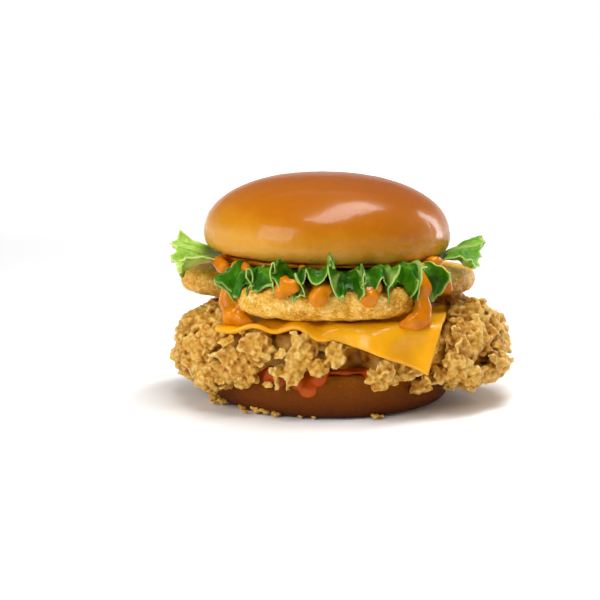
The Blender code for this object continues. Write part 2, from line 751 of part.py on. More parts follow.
def main():
    clear_scene()
    burger = new_collection("chicken_burger")
    cutters = new_collection("cutters")
    bun = new_material("glazed_bun", (0.62, 0.27, 0.07), 0.32)
    potato = new_material("fried_potato", (0.76, 0.47, 0.12), 0.55)
    batter = new_material("fried_batter", (0.80, 0.52, 0.20), 0.6)
    cheddar = new_material("melted_cheese", (0.94, 0.52, 0.04), 0.25)
    leaf = new_material("lettuce_leaf", (0.22, 0.45, 0.05), 0.45)
    orange = new_material("orange_sauce", (0.90, 0.42, 0.05), 0.15)
    chilli = new_material("chilli_sauce", (0.75, 0.20, 0.03), 0.15)

    bun_heel("bun_heel", burger, bun)
    bun_crown("bun_crown", burger, bun)
    cheese_slice("cheese_slice", burger, cheddar)
    hash_brown_back("hash_brown_back", burger, potato)
    hash_brown_front("hash_brown_front", burger, potato)
    for name in LEAVES:
        lettuce_leaf(name, burger, leaf)

    heel = ("heel", bun_heel)
    crown = ("crown", bun_crown)
    cheese = ("cheese", cheese_slice)
    patties = [("hash_back", hash_brown_back), ("hash_front", hash_brown_front)]
    leaves = [(name, lettuce_leaf) for name in LEAVES]

    sauce_lower("sauce_lower", burger, chilli)
    fillet = fillet_body("chicken_fillet", burger, batter)
    sauces = [("sauce_lower", sauce_lower), ("sauce_hash", sauce_hash)]
    cut_clear(fillet, cutters, [heel, *sauces, cheese, *patties], "MANIFOLD")
    middle = sauce_hash("sauce_hash", burger, orange)
    cut_clear(middle, cutters, [cheese, *patties, *leaves], "MANIFOLD")
    upper = poured_sauce("sauce_crown", burger, orange, CROWN_SHEET, CROWN_DRIPS)
    cut_clear(upper, cutters, [crown, ("sauce_hash", sauce_hash), *leaves], "MANIFOLD")


main()
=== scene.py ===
import math
import random

import bmesh
import bpy
from mathutils import Matrix, Vector, noise


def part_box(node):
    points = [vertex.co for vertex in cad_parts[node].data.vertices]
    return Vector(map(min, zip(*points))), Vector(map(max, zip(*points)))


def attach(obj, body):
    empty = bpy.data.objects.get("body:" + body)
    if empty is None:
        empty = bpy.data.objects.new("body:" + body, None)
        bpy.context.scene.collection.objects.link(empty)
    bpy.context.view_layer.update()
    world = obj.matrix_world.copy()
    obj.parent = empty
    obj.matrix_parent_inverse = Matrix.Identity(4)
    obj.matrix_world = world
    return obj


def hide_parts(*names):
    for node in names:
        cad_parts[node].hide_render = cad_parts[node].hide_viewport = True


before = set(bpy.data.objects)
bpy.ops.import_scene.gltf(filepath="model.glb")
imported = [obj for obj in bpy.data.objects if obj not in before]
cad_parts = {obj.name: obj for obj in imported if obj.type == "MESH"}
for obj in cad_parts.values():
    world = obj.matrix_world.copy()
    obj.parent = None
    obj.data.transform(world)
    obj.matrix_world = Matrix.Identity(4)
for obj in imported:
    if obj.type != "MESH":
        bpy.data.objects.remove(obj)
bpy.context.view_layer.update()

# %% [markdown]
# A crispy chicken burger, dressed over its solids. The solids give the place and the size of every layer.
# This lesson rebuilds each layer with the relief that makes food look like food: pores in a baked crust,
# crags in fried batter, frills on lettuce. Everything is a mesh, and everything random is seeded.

MM = 0.001
# Vector noise takes its offsets from the clock unless it has a seed
noise.seed_set(1)
low, high = {}, {}
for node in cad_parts:
    low[node], high[node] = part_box(node)

BUN_RADIUS = 50 * MM
HEEL_TOP = high["bun_heel"].z
HEEL_WIDEST = 9.5 * MM
CROWN_CUT = 59.5 * MM
CROWN_WIDEST = 65.5 * MM
CROWN_TOP = 91.3 * MM
print("heel top", round(HEEL_TOP / MM, 2), "mm, crown top", round(high["bun_crown"].z / MM, 2), "mm")

# %% [markdown]
# Colours are picked as sRGB hex values, the way a painter's chart lists them, and a shader wants linear
# light. One function turns one into the other. One more adds a node with its settings and its links, so
# that each material reads as a short recipe. Baked and fried food is never one even tone, and its mottling
# is a noise at a real spacing, which shifts the tone up and down a colour ramp.

# %% Colour and node helpers


def linear(hex_colour):
    """The linear RGBA of an sRGB hex colour."""
    channels = [int(hex_colour[i : i + 2], 16) / 255 for i in (1, 3, 5)]
    return (*[c / 12.92 if c <= 0.04045 else ((c + 0.055) / 1.055) ** 2.4 for c in channels], 1.0)


def add_node(tree, kind, settings=None, *feeds, **links):
    """A node with its properties, sockets or ramp stops set, and its inputs linked.

    Feeds are (node, output) pairs for its first inputs in order, and links are socket=(node, output).
    """
    made = tree.nodes.new(kind)
    for key, value in (settings or {}).items():
        if key == "stops":
            points = made.color_ramp.elements
            while len(points) < len(value):
                points.new(0.5)
            for point, (position, colour) in zip(points, value):
                point.position = position
                point.color = linear(colour)
        elif hasattr(made, key):
            setattr(made, key, value)
        else:
            made.inputs[key].default_value = value
    for index, (source, output) in enumerate(feeds):
        tree.links.new(source.outputs[output], made.inputs[index])
    for socket, (source, output) in links.items():
        tree.links.new(source.outputs[output], made.inputs[socket.replace("_", " ")])
    return made


def new_finish(name, **sockets):
    """A material with a Principled shader whose plain sockets are set by name."""
    made = bpy.data.materials.new(name)
    made.use_nodes = True
    shader = made.node_tree.nodes["Principled BSDF"]
    for key, value in sockets.items():
        shader.inputs[key.replace("_", " ")].default_value = value
    return made, made.node_tree, shader


def per_mm(spacing):
    """The scale of a pattern on Object coordinates whose features are that many millimetres apart."""
    return 1.0 / (spacing * MM)


def mottling(tree, place, spacing, detail, rough, tones, span=(0.3, 0.7)):
    """A noise with features that many millimetres apart, and the same noise spread over a range of tones."""
    settings = {"Scale": per_mm(spacing), "Detail": detail, "Roughness": rough}
    cloud = add_node(tree, "ShaderNodeTexNoise", settings, Vector=(place, "Object"))
    settings = {"From Min": span[0], "From Max": span[1], "To Min": tones[0], "To Max": tones[1]}
    return cloud, add_node(tree, "ShaderNodeMapRange", settings, Value=(cloud, "Fac"))


print("helpers ready")

# %% [markdown]
# A mesh that was shaped in memory becomes an object that rides on the burger's one body and stands for
# its solid. Batter and sauce are blobs that have run together, so a voxel skin round overlapping shapes
# is how they are made: it fuses them into one closed surface that can then be smoothed and roughened.

# %% Mesh helpers


def finish_piece(name, bm, material, nodes=()):
    """Turns a bmesh into a smooth piece of the burger that stands for the named solids."""
    mesh = bpy.data.meshes.new(name)
    bm.to_mesh(mesh)
    bm.free()
    mesh.shade_smooth()
    mesh.materials.append(material)
    obj = bpy.data.objects.new(name, mesh)
    bpy.context.scene.collection.objects.link(obj)
    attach(obj, "root")
    if nodes:
        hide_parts(*nodes)
    print(name, len(mesh.polygons), "faces")
    return obj


def evaluated_bmesh(bm, name, **modifier):
    """The bmesh after one modifier."""
    mesh = bpy.data.meshes.new("shape")
    bm.to_mesh(mesh)
    bm.free()
    obj = bpy.data.objects.new("shape", mesh)
    bpy.context.scene.collection.objects.link(obj)
    made = obj.modifiers.new("shape", name)
    for key, value in modifier.items():
        setattr(made, key, value)
    graph = bpy.context.evaluated_depsgraph_get()
    result = bpy.data.meshes.new_from_object(obj.evaluated_get(graph))
    bpy.data.objects.remove(obj, do_unlink=True)
    bpy.data.meshes.remove(mesh)
    out = bmesh.new()
    out.from_mesh(result)
    bpy.data.meshes.remove(result)
    return out


def skin_over(bm, voxel):
    """One closed skin round overlapping closed shapes."""
    return evaluated_bmesh(bm, "REMESH", mode="VOXEL", voxel_size=voxel, adaptivity=0.0)


def relax(bm, rounds, factor=0.5):
    """Smooths a mesh that many times."""
    for _ in range(rounds):
        bmesh.ops.smooth_vert(
            bm, verts=bm.verts, factor=factor, use_axis_x=True, use_axis_y=True, use_axis_z=True
        )


def store_relief_shade(bm, rounds, reach):
    """Keeps how far each point stands proud of its smoothed surroundings, from 0 to 1 round 0.5, for painted
    light and shade.
    """
    calm = bm.copy()
    relax(calm, rounds)
    calm.verts.ensure_lookup_table()
    bm.normal_update()
    layer = bm.verts.layers.float.new("ridge")
    for index, vert in enumerate(bm.verts):
        proud = (vert.co - calm.verts[index].co).dot(vert.normal)
        vert[layer] = min(1.0, max(0.0, 0.5 + 0.5 * proud / reach))
    calm.free()


def roughen(bm, waves):
    """Moves each point along its normal by noises given as (spacing in mm, height in mm)."""
    bm.normal_update()
    moves = []
    for vert in bm.verts:
        rise = sum(height * noise.noise(vert.co * per_mm(spacing)) for spacing, height in waves)
        moves.append(vert.normal * rise * MM)
    for vert, move in zip(bm.verts, moves):
        vert.co += move


def smoothstep(value):
    """An ease from 0 to 1 that starts and ends level."""
    value = min(1.0, max(0.0, value))
    return value * value * (3.0 - 2.0 * value)


def signed_power(value, exponent):
    """A power that keeps the sign."""
    return math.copysign(abs(value) ** exponent, value)


print("mesh helpers ready")

# %% [markdown]
# The bun is an enriched dough, brushed with egg before baking. The egg sets to a thin glassy coat over a
# brown crust, so the crown is a rough brown base under a clear coat. It is paler at its lower lip, where
# it swelled last and the oven saw it least. The heel was never brushed: it is matt, dry and finely grained.

# %% The crown's finish
# Egg-washed bread crust: a matt brown, deeper to the top, under a coat that gives a broad soft shine.
crown_finish, tree, shader = new_finish(
    "egg_washed_crust",
    Roughness=0.5,
    IOR=1.4,
    Specular_IOR_Level=0.05,
    Coat_Weight=0.48,
    Coat_Roughness=0.19,
)
place = add_node(tree, "ShaderNodeTexCoord")
_, uneven = mottling(tree, place, 34, 4.0, 0.55, (-0.13, 0.13), (0.25, 0.75))
axes = add_node(tree, "ShaderNodeSeparateXYZ", Vector=(place, "Object"))
rise = add_node(tree, "ShaderNodeMapRange", {"From Min": CROWN_CUT, "From Max": CROWN_TOP}, Value=(axes, "Z"))
# Painted light: the crown's left is painted paler and its right deeper, as the soft box at the upper front
# left lights it.
side = add_node(
    tree,
    "ShaderNodeMapRange",
    {"From Min": -50 * MM, "From Max": 50 * MM, "To Min": -0.34, "To Max": 0.08},
    Value=(axes, "X"),
)
tone = add_node(tree, "ShaderNodeMath", {"operation": "ADD"}, (rise, "Result"), (uneven, "Result"))
tone_with_painted_light = add_node(tree, "ShaderNodeMath", {"operation": "ADD"}, (tone, "Value"), (side, "Result"))
CRUST_STOPS = [(0.0, "#D29430"), (0.14, "#C27E0A"), (0.36, "#AE6200"), (0.70, "#9E5200"), (1.0, "#924600")]
crust = add_node(tree, "ShaderNodeValToRGB", {"stops": CRUST_STOPS}, Fac=(tone_with_painted_light, "Value"))
tree.links.new(crust.outputs["Color"], shader.inputs["Base Color"])
pores = add_node(
    tree,
    "ShaderNodeTexNoise",
    {"Scale": per_mm(1.1), "Detail": 3.0, "Roughness": 0.6},
    Vector=(place, "Object"),
)
pits = add_node(tree, "ShaderNodeTexVoronoi", {"Scale": per_mm(2.6)}, Vector=(place, "Object"))
pit_depth = add_node(
    tree, "ShaderNodeMapRange", {"From Min": 0.0, "From Max": 0.16}, Value=(pits, "Distance")
)
pored = add_node(tree, "ShaderNodeBump", {"Distance": 0.24 * MM}, Height=(pores, "Fac"))
pitted = add_node(
    tree,
    "ShaderNodeBump",
    {"Distance": 0.14 * MM},
    Height=(pit_depth, "Result"),
    Normal=(pored, "Normal"),
)
tree.links.new(pitted.outputs["Normal"], shader.inputs["Normal"])
print(crown_finish.name)

# %% The heel's finish
# Plain baked crust: dry, so it has no shine, and darker towards the foot.
heel_finish, tree, shader = new_finish("baked_heel", Roughness=0.8, IOR=1.4, Specular_IOR_Level=0.2)
place = add_node(tree, "ShaderNodeTexCoord")
axes = add_node(tree, "ShaderNodeSeparateXYZ", Vector=(place, "Object"))
grain, speckle = mottling(tree, place, 0.9, 4.0, 0.7, (-0.10, 0.16))
height = add_node(
    tree,
    "ShaderNodeMapRange",
    {"From Min": 0.0, "From Max": HEEL_TOP, "To Min": 0.0, "To Max": 0.72},
    Value=(axes, "Z"),
)
tone = add_node(tree, "ShaderNodeMath", {"operation": "ADD"}, (height, "Result"), (speckle, "Result"))
BAKED_STOPS = [(0.0, "#481C00"), (0.3, "#663000"), (0.6, "#7A3E00"), (0.85, "#925404"), (1.0, "#AC6E18")]
baked = add_node(tree, "ShaderNodeValToRGB", {"stops": BAKED_STOPS}, Fac=(tone, "Value"))
tree.links.new(baked.outputs["Color"], shader.inputs["Base Color"])
grained = add_node(tree, "ShaderNodeBump", {"Distance": 0.22 * MM}, Height=(grain, "Fac"))
tree.links.new(grained.outputs["Normal"], shader.inputs["Normal"])
print(heel_finish.name)

# %% [markdown]
# Both halves of the bun are turned shapes that the oven pulled a little out of true. Each starts from a
# fine ball whose rings are moved onto the same outline as the solid's, and small noises then wrinkle the
# lip and dimple the crust.

# %% The bun's outlines
CROWN_TUCK = 5.5 * MM
CROWN_FULLNESS = 0.90
CROWN_LEAN = math.radians(1.2)
CROWN_SHIFT = -1.2 * MM
HEEL_FOOT_RADIUS = 43.5 * MM
HEEL_LIP_RADIUS = 47.5 * MM
BUN_WOBBLE = 0.7 * MM
BUN_WOBBLE_SCALE = 34.0


def crown_profile(share):
    """(radius, height) on the crown's outline, from the top at 0 to the centre of the cut face at 1."""
    dome_end, tuck_end = 0.62, 0.84
    if share < dome_end:
        angle = share / dome_end * math.pi / 2
        radius = BUN_RADIUS * math.sin(angle) ** CROWN_FULLNESS
        return radius, CROWN_WIDEST + (CROWN_TOP - CROWN_WIDEST) * math.cos(angle) ** CROWN_FULLNESS
    if share < tuck_end:
        angle = (share - dome_end) / (tuck_end - dome_end) * math.pi / 2
        radius = BUN_RADIUS - CROWN_TUCK * (1.0 - math.cos(angle))
        return radius, CROWN_WIDEST - (CROWN_WIDEST - CROWN_CUT) * math.sin(angle)
    return (BUN_RADIUS - CROWN_TUCK) * (1.0 - share) / (1.0 - tuck_end), CROWN_CUT


def heel_profile(share):
    """(radius, height) on the heel's outline, from the centre of its cut face at 0 to its foot at 1."""
    face_end, lip_end, foot_start = 0.16, 0.46, 0.80
    if share < face_end:
        return (HEEL_LIP_RADIUS - 0.8 * MM) * share / face_end, HEEL_TOP
    if share < lip_end:
        angle = (share - face_end) / (lip_end - face_end) * math.pi / 2
        radius = HEEL_LIP_RADIUS + (BUN_RADIUS - HEEL_LIP_RADIUS) * math.sin(angle)
        return radius, HEEL_WIDEST + (HEEL_TOP - HEEL_WIDEST) * math.cos(angle) ** 0.8
    if share < foot_start:
        angle = (share - lip_end) / (foot_start - lip_end) * math.pi / 2
        radius = HEEL_FOOT_RADIUS + (BUN_RADIUS - HEEL_FOOT_RADIUS) * math.cos(angle) ** 0.8
        return radius, HEEL_WIDEST * (1.0 - math.sin(angle))
    return HEEL_FOOT_RADIUS * (1.0 - share) / (1.0 - foot_start), 0.0


def turned_ball(profile, steps, rings, wrinkle):
    """A ball whose rings are moved onto a turned outline, with the oven's wobble and wrinkles."""
    bm = bmesh.new()
    bmesh.ops.create_uvsphere(bm, u_segments=steps, v_segments=rings, radius=1.0)
    for vert in bm.verts:
        share = math.acos(max(-1.0, min(1.0, vert.co.z))) / math.pi
        radius, height = profile(share)
        turn = math.atan2(vert.co.y, vert.co.x)
        if share < 0.001 or share > 0.999:
            radius = 0.0
        around = Vector((math.cos(turn), math.sin(turn), height * BUN_WOBBLE_SCALE))
        out = min(1.0, radius / BUN_RADIUS)
        radius += out * (BUN_WOBBLE * noise.noise(around) + wrinkle(turn, share))
        vert.co = (radius * math.cos(turn), radius * math.sin(turn), height)
    return bm


print("crown profile at its widest:", [round(v / MM, 1) for v in crown_profile(0.62)])

# %% The crown


def crown_wrinkle(turn, share):
    """Short creases that run up from the crown's lip."""
    near_lip = smoothstep((share - 0.46) / 0.14) * smoothstep((0.86 - share) / 0.08)
    crease = noise.noise(Vector((turn * 16.0, share * 5.0, 2.0)))
    fine = noise.noise(Vector((turn * 42.0, share * 11.0, 7.0)))
    return near_lip * (0.30 * crease + 0.12 * fine) * MM


bm = turned_ball(crown_profile, 256, 128, crown_wrinkle)
pivot = Matrix.Translation((0.0, 0.0, CROWN_CUT))
lean = pivot @ Matrix.Rotation(CROWN_LEAN, 4, "Y") @ pivot.inverted()
bmesh.ops.transform(bm, matrix=Matrix.Translation((CROWN_SHIFT, 0.0, 0.0)) @ lean, verts=bm.verts)
roughen(bm, [(9.0, 0.10), (2.4, 0.045)])
finish_piece("crown", bm, crown_finish, ["bun_crown"])

# %% The heel


def heel_wrinkle(turn, share):
    """Low dents in the heel's flank."""
    return 0.25 * MM * noise.noise(Vector((turn * 9.0, share * 7.0, 4.0)))


bm = turned_ball(heel_profile, 256, 96, heel_wrinkle)
FLAT_FOOT = 0.4 * MM
for vert in bm.verts:
    if vert.co.z > FLAT_FOOT:
        grit = 0.16 * noise.noise(vert.co * per_mm(1.3)) + 0.10 * noise.noise(vert.co * per_mm(0.7))
        vert.co += vert.normal * grit * MM
finish_piece("heel", bm, heel_finish, ["bun_heel"])

# %% [markdown]
# A hash brown is grated potato pressed into a patty and fried. Its face is a bed of short shreds a
# millimetre or two long, pale where they stand up and oily amber between, with painted shade in the gaps.
# The relief is a cell pattern pushed into a rounded block, and its height is kept as an attribute for the
# colour.

# %% The potato's finish
# Grated potato, deep-fried: pale raised shreds and amber oil between them, the gaps darkened further as
# painted shade, fine specks lifted paler as painted glints, and a dull greasy shine.
potato_finish, tree, shader = new_finish(
    "potato_shreds_fried",
    Roughness=0.40,
    IOR=1.45,
    Subsurface_Weight=0.08,
    Subsurface_Radius=(3.0 * MM, 1.4 * MM, 0.4 * MM),
    Subsurface_Scale=1.0,
    Specular_IOR_Level=0.4,
)
place = add_node(tree, "ShaderNodeTexCoord")
proud = add_node(tree, "ShaderNodeAttribute", {"attribute_name": "ridge"})
_, uneven = mottling(tree, place, 14, 3.0, 0.6, (-0.17, 0.17))
# A fine grain of specks, shifted mostly paler: painted glints, and the same grain bumps the surface.
speck_grain, painted_glint_specks = mottling(tree, place, 0.8, 3.0, 0.7, (-0.16, 0.24), (0.35, 0.75))
tone = add_node(tree, "ShaderNodeMath", {"operation": "ADD"}, (proud, "Fac"), (uneven, "Result"))
tone_fine = add_node(tree, "ShaderNodeMath", {"operation": "ADD"}, (tone, "Value"), (painted_glint_specks, "Result"))
# Painted shade: the darkest stops colour the gaps between the shreds.
POTATO_TONE_AND_SHADE_STOPS = [(0.02, "#9C5C00"), (0.20, "#C48208"), (0.40, "#DAA22E"), (0.64, "#EABE5E"), (0.92, "#FAE4AA")]
fried = add_node(tree, "ShaderNodeValToRGB", {"stops": POTATO_TONE_AND_SHADE_STOPS}, Fac=(tone_fine, "Value"))
tree.links.new(fried.outputs["Color"], shader.inputs["Base Color"])
grainy = add_node(tree, "ShaderNodeBump", {"Distance": 0.25 * MM}, Height=(speck_grain, "Fac"))
tree.links.new(grainy.outputs["Normal"], shader.inputs["Normal"])
print(potato_finish.name)

# %% The hash browns
HASH_FLANK = 0.60
HASH_RELIEF = 0.7
HASH_RELIEF_SPACING = 4.76
FRONT_HASH_OUTLINE = 0.72
BACK_HASH_OUTLINE = 0.86
FRONT_HASH_CENTRE = Vector((-2.0, -35.0, 46.0)) * MM
FRONT_HASH_SEMI = Vector((34.5, 19.8, 7.7)) * MM
BACK_HASH_CENTRE = Vector((-0.5, 13.5, 46.0)) * MM
BACK_HASH_SEMI = Vector((61.5, 28.0, 7.7)) * MM
FRONT_HASH_DIP = math.radians(2.0)
SHRED_SPACING = 1.5
SHRED_HEIGHT = 0.42
LUMP_HEIGHT = 0.30
FINE_HEIGHT = 0.12
SUNK = 0.15


def superellipsoid(direction, semi, flank, outline):
    """Point of a rounded block. A flank below 1 steepens its sides, an outline below 1 squares its plan."""
    turn = math.atan2(direction.y, direction.x)
    lift = math.asin(max(-1.0, min(1.0, direction.z)))
    flat = abs(math.cos(lift)) ** flank
    return Vector(
        (
            semi.x * flat * signed_power(math.cos(turn), outline),
            semi.y * flat * signed_power(math.sin(turn), outline),
            semi.z * signed_power(math.sin(lift), flank),
        )
    )


def potato_patty(node, centre, semi, outline, dip):
    """A patty of fried potato shreds."""
    bm = bmesh.new()
    bmesh.ops.create_uvsphere(bm, u_segments=420, v_segments=150, radius=1.0)
    tip = Matrix.Rotation(dip, 3, "X")
    for vert in bm.verts:
        outward = vert.co.copy()
        point = superellipsoid(outward, semi, HASH_FLANK, outline)
        swell = noise.noise((point + centre) * per_mm(HASH_RELIEF_SPACING))
        point += outward * HASH_RELIEF * MM * swell
        vert.co = centre + tip @ point
    bm.normal_update()
    layer = bm.verts.layers.float.new("ridge")
    moves = []
    for vert in bm.verts:
        bent = vert.co + noise.noise_vector(vert.co * per_mm(2.2)) * 0.9 * MM
        distances, _ = noise.voronoi(bent * per_mm(SHRED_SPACING))
        grain = distances[1] - distances[0]
        lumps = noise.noise(vert.co * per_mm(3.6))
        fine = noise.noise(vert.co * per_mm(0.8))
        relief = SHRED_HEIGHT * grain + LUMP_HEIGHT * lumps + FINE_HEIGHT * fine - SUNK
        moves.append(vert.normal * relief * MM)
        # Painted shade: the gaps between the shreds get low values, which the colour ramp turns dark.
        vert[layer] = 0.30 + 0.5 * grain + 0.25 * lumps + 0.15 * fine
    for vert, move in zip(bm.verts, moves):
        vert.co += move
    return finish_piece(node + "_fried", bm, potato_finish, [node])


potato_patty("hash_brown_front", FRONT_HASH_CENTRE, FRONT_HASH_SEMI, FRONT_HASH_OUTLINE, FRONT_HASH_DIP)
potato_patty("hash_brown_back", BACK_HASH_CENTRE, BACK_HASH_SEMI, BACK_HASH_OUTLINE, 0.0)

# %% [markdown]
# The slice is processed cheese: even, opaque and a little waxy, with light that goes in and comes out
# warmer. Warm from the fillet, it has sagged over the front, so its edge is soft and wavy. It is one
# grid, draped by the same formula as its solid, given its thickness and then rounded by subdivision.

# %% The cheese's finish
# Processed cheese, warmed until it sags: even and waxy, with light that sinks in and comes out warmer.
cheese_finish, tree, shader = new_finish(
    "processed_cheese_warm",
    Roughness=0.32,
    IOR=1.46,
    Subsurface_Weight=0.15,
    Subsurface_Radius=(3.5 * MM, 1.6 * MM, 0.3 * MM),
    Subsurface_Scale=1.0,
    Specular_IOR_Level=0.3,
    Coat_Weight=0.35,
    Coat_Roughness=0.12,
)
place = add_node(tree, "ShaderNodeTexCoord")
cloud = add_node(
    tree,
    "ShaderNodeTexNoise",
    {"Scale": per_mm(22), "Detail": 2.0, "Roughness": 0.5},
    Vector=(place, "Object"),
)
CHEESE_STOPS = [(0.25, "#E09400"), (0.55, "#EAA400"), (0.8, "#F0AE04")]
melt = add_node(tree, "ShaderNodeValToRGB", {"stops": CHEESE_STOPS}, Fac=(cloud, "Fac"))
tree.links.new(melt.outputs["Color"], shader.inputs["Base Color"])
pull = add_node(
    tree,
    "ShaderNodeTexNoise",
    {"Scale": per_mm(5), "Detail": 3.0, "Roughness": 0.55, "Distortion": 0.6},
    Vector=(place, "Object"),
)
pulled = add_node(tree, "ShaderNodeBump", {"Distance": 0.4 * MM}, Height=(pull, "Fac"))
tree.links.new(pulled.outputs["Normal"], shader.inputs["Normal"])
print(cheese_finish.name)

# %% The cheese slice
CHEESE_LEVEL = 36.7 * MM
CHEESE_SIDE = 84 * MM
CHEESE_THICKNESS = 2.0 * MM
CHEESE_CENTRE = Vector((6.6, -14.6)) * MM
CHEESE_TURN = math.radians(-15.0)
FOLD_LINE = -48.0 * MM
FOLD_CURVE = 3.5
BEND_RADIUS = 6.0 * MM
BEND_LIMIT = math.radians(74.0)
FLAP_WAVE = 2.2 * MM
FLAP_WAVE_LENGTH = 27 * MM
EDGE_WAVE = 1.3 * MM
EDGE_WAVE_LENGTH = 17.5 * MM
LEFT_SAG = 2.6 * MM
BUNCH_START = 40.0 * MM
BUNCH_REACH = 7.5 * MM


def draped_cheese(flat_x, flat_y):
    """Where a point of the flat slice lies once the slice has melted over the fillet's front."""
    cosine, sine = math.cos(CHEESE_TURN), math.sin(CHEESE_TURN)
    x = CHEESE_CENTRE.x + flat_x * cosine - flat_y * sine
    if x > BUNCH_START:
        x = BUNCH_START + BUNCH_REACH * math.tanh((x - BUNCH_START) / BUNCH_REACH)
    y = CHEESE_CENTRE.y + flat_x * sine + flat_y * cosine
    z = CHEESE_LEVEL
    fold = FOLD_LINE + FOLD_CURVE * max(0.0, x) ** 2
    beyond = fold - y
    if beyond > 0.0:
        bend = min(beyond / BEND_RADIUS, BEND_LIMIT)
        rest = beyond - bend * BEND_RADIUS
        y = fold - BEND_RADIUS * math.sin(bend) - rest * math.cos(bend)
        z -= BEND_RADIUS * (1.0 - math.cos(bend)) + rest * math.sin(bend)
        hang = smoothstep(beyond / (12 * MM))
        y -= FLAP_WAVE * hang * math.sin((x - 12 * MM) / FLAP_WAVE_LENGTH * math.tau)
    near_edge = smoothstep((beyond + 6 * MM) / (6 * MM)) * smoothstep((4 * MM - x) / (12 * MM))
    z += EDGE_WAVE * near_edge * math.sin(x / EDGE_WAVE_LENGTH * math.tau)
    z -= LEFT_SAG * smoothstep((-18 * MM - x) / (26 * MM)) * smoothstep((10 * MM - y) / (30 * MM))
    return Vector((x, y, z))


bm = bmesh.new()
bmesh.ops.create_grid(bm, x_segments=70, y_segments=70, size=CHEESE_SIDE / 2)
for vert in bm.verts:
    swell = 0.8 * MM * noise.noise(vert.co * per_mm(12))
    swell += 0.25 * MM * noise.noise(vert.co * per_mm(5))
    vert.co = draped_cheese(vert.co.x, vert.co.y) + Vector((0.0, -swell, swell))
bmesh.ops.recalc_face_normals(bm, faces=bm.faces)
cheese = finish_piece("cheese_slice_melted", bm, cheese_finish, ["cheese_slice"])
wall = cheese.modifiers.new("Thickness", "SOLIDIFY")
wall.thickness = CHEESE_THICKNESS
wall.offset = 0.0
soften = cheese.modifiers.new("Soften", "SUBSURF")
soften.levels = soften.render_levels = 1

# %% [markdown]
# The fillet's batter is the hardest piece. Flour that clumped in the marinade fries into popcorn-like
# nodules a few millimetres across, and thin sheets of it curl off as flakes. Clusters of small balls and
# bent plates are piled on a lumpy body, fused by a fine skin, and crinkled. Four stretches of crust go
# round the body, so that none of them is too heavy.

# %% The batter's finish
# Flour batter, deep-fried and dry: paler at the tips as painted light and browner in the hollows as painted
# shade.
batter_finish, tree, shader = new_finish(
    "batter_crust_fried",
    Roughness=0.48,
    IOR=1.45,
    Subsurface_Weight=0.06,
    Subsurface_Radius=(2.2 * MM, 1.1 * MM, 0.4 * MM),
    Subsurface_Scale=1.0,
    Specular_IOR_Level=0.4,
)
place = add_node(tree, "ShaderNodeTexCoord")
proud = add_node(tree, "ShaderNodeAttribute", {"attribute_name": "ridge"})
_, uneven = mottling(tree, place, 11, 3.0, 0.6, (-0.16, 0.16))
dust, fine = mottling(tree, place, 0.9, 3.0, 0.65, (-0.06, 0.06))
tone = add_node(tree, "ShaderNodeMath", {"operation": "ADD"}, (proud, "Fac"), (uneven, "Result"))
tone_fine = add_node(tree, "ShaderNodeMath", {"operation": "ADD"}, (tone, "Value"), (fine, "Result"))
# Painted light and shade: the dark stops colour the hollows and the pale stops the tips.
BATTER_LIT_AND_SHADED_STOPS = [(0.10, "#6E3200"), (0.26, "#A46408"), (0.42, "#BE8420"), (0.60, "#CE9E3E"), (0.86, "#E2BE6E")]
fried = add_node(tree, "ShaderNodeValToRGB", {"stops": BATTER_LIT_AND_SHADED_STOPS}, Fac=(tone_fine, "Value"))
tree.links.new(fried.outputs["Color"], shader.inputs["Base Color"])
dusted = add_node(tree, "ShaderNodeBump", {"Distance": 0.18 * MM}, Height=(dust, "Fac"))
tree.links.new(dusted.outputs["Normal"], shader.inputs["Normal"])
print(batter_finish.name)

# %% The fillet's body
FILLET_CENTRE = Vector((5.0, -2.0, 24.5)) * MM
FILLET_SEMI = Vector((64.5, 49.5, 14.5)) * MM
FILLET_FLANK = 0.62
FILLET_OUTLINE = 0.88
FILLET_LUMP = 4.0 * MM
FILLET_LUMP_SCALE = 82.0
CREVICE_TURN = math.radians(-86.0)
CREVICE_WIDTH = math.radians(4.5)
CREVICE_DEPTH = 7.0 * MM
END_DROOP = 3.5 * MM
BODY_INSET = 3.5 * MM


def fillet_point(turn, lift, inset=0.0):
    """A point of the fillet's side by bearing and by angle above its middle."""
    level_part = math.cos(lift)
    direction = Vector((level_part * math.cos(turn), level_part * math.sin(turn), math.sin(lift)))
    point = superellipsoid(direction, FILLET_SEMI, FILLET_FLANK, FILLET_OUTLINE)
    crevice = math.exp(-(((turn - CREVICE_TURN) / CREVICE_WIDTH) ** 2))
    level = Vector((point.x, point.y, 0.0))
    if level.length > MM:
        point -= level.normalized() * CREVICE_DEPTH * crevice * abs(math.cos(lift))
    point += direction * FILLET_LUMP * noise.noise(point * FILLET_LUMP_SCALE)
    point.z -= END_DROOP * smoothstep((abs(point.x) - 42 * MM) / (18 * MM))
    return FILLET_CENTRE + point - direction * inset


def fillet_normal(turn, lift):
    """The outward direction there, from two short steps along the surface."""
    step = 0.02
    along = fillet_point(turn + step, lift) - fillet_point(turn - step, lift)
    upward = fillet_point(turn, lift + step) - fillet_point(turn, lift - step)
    return along.cross(upward).normalized()


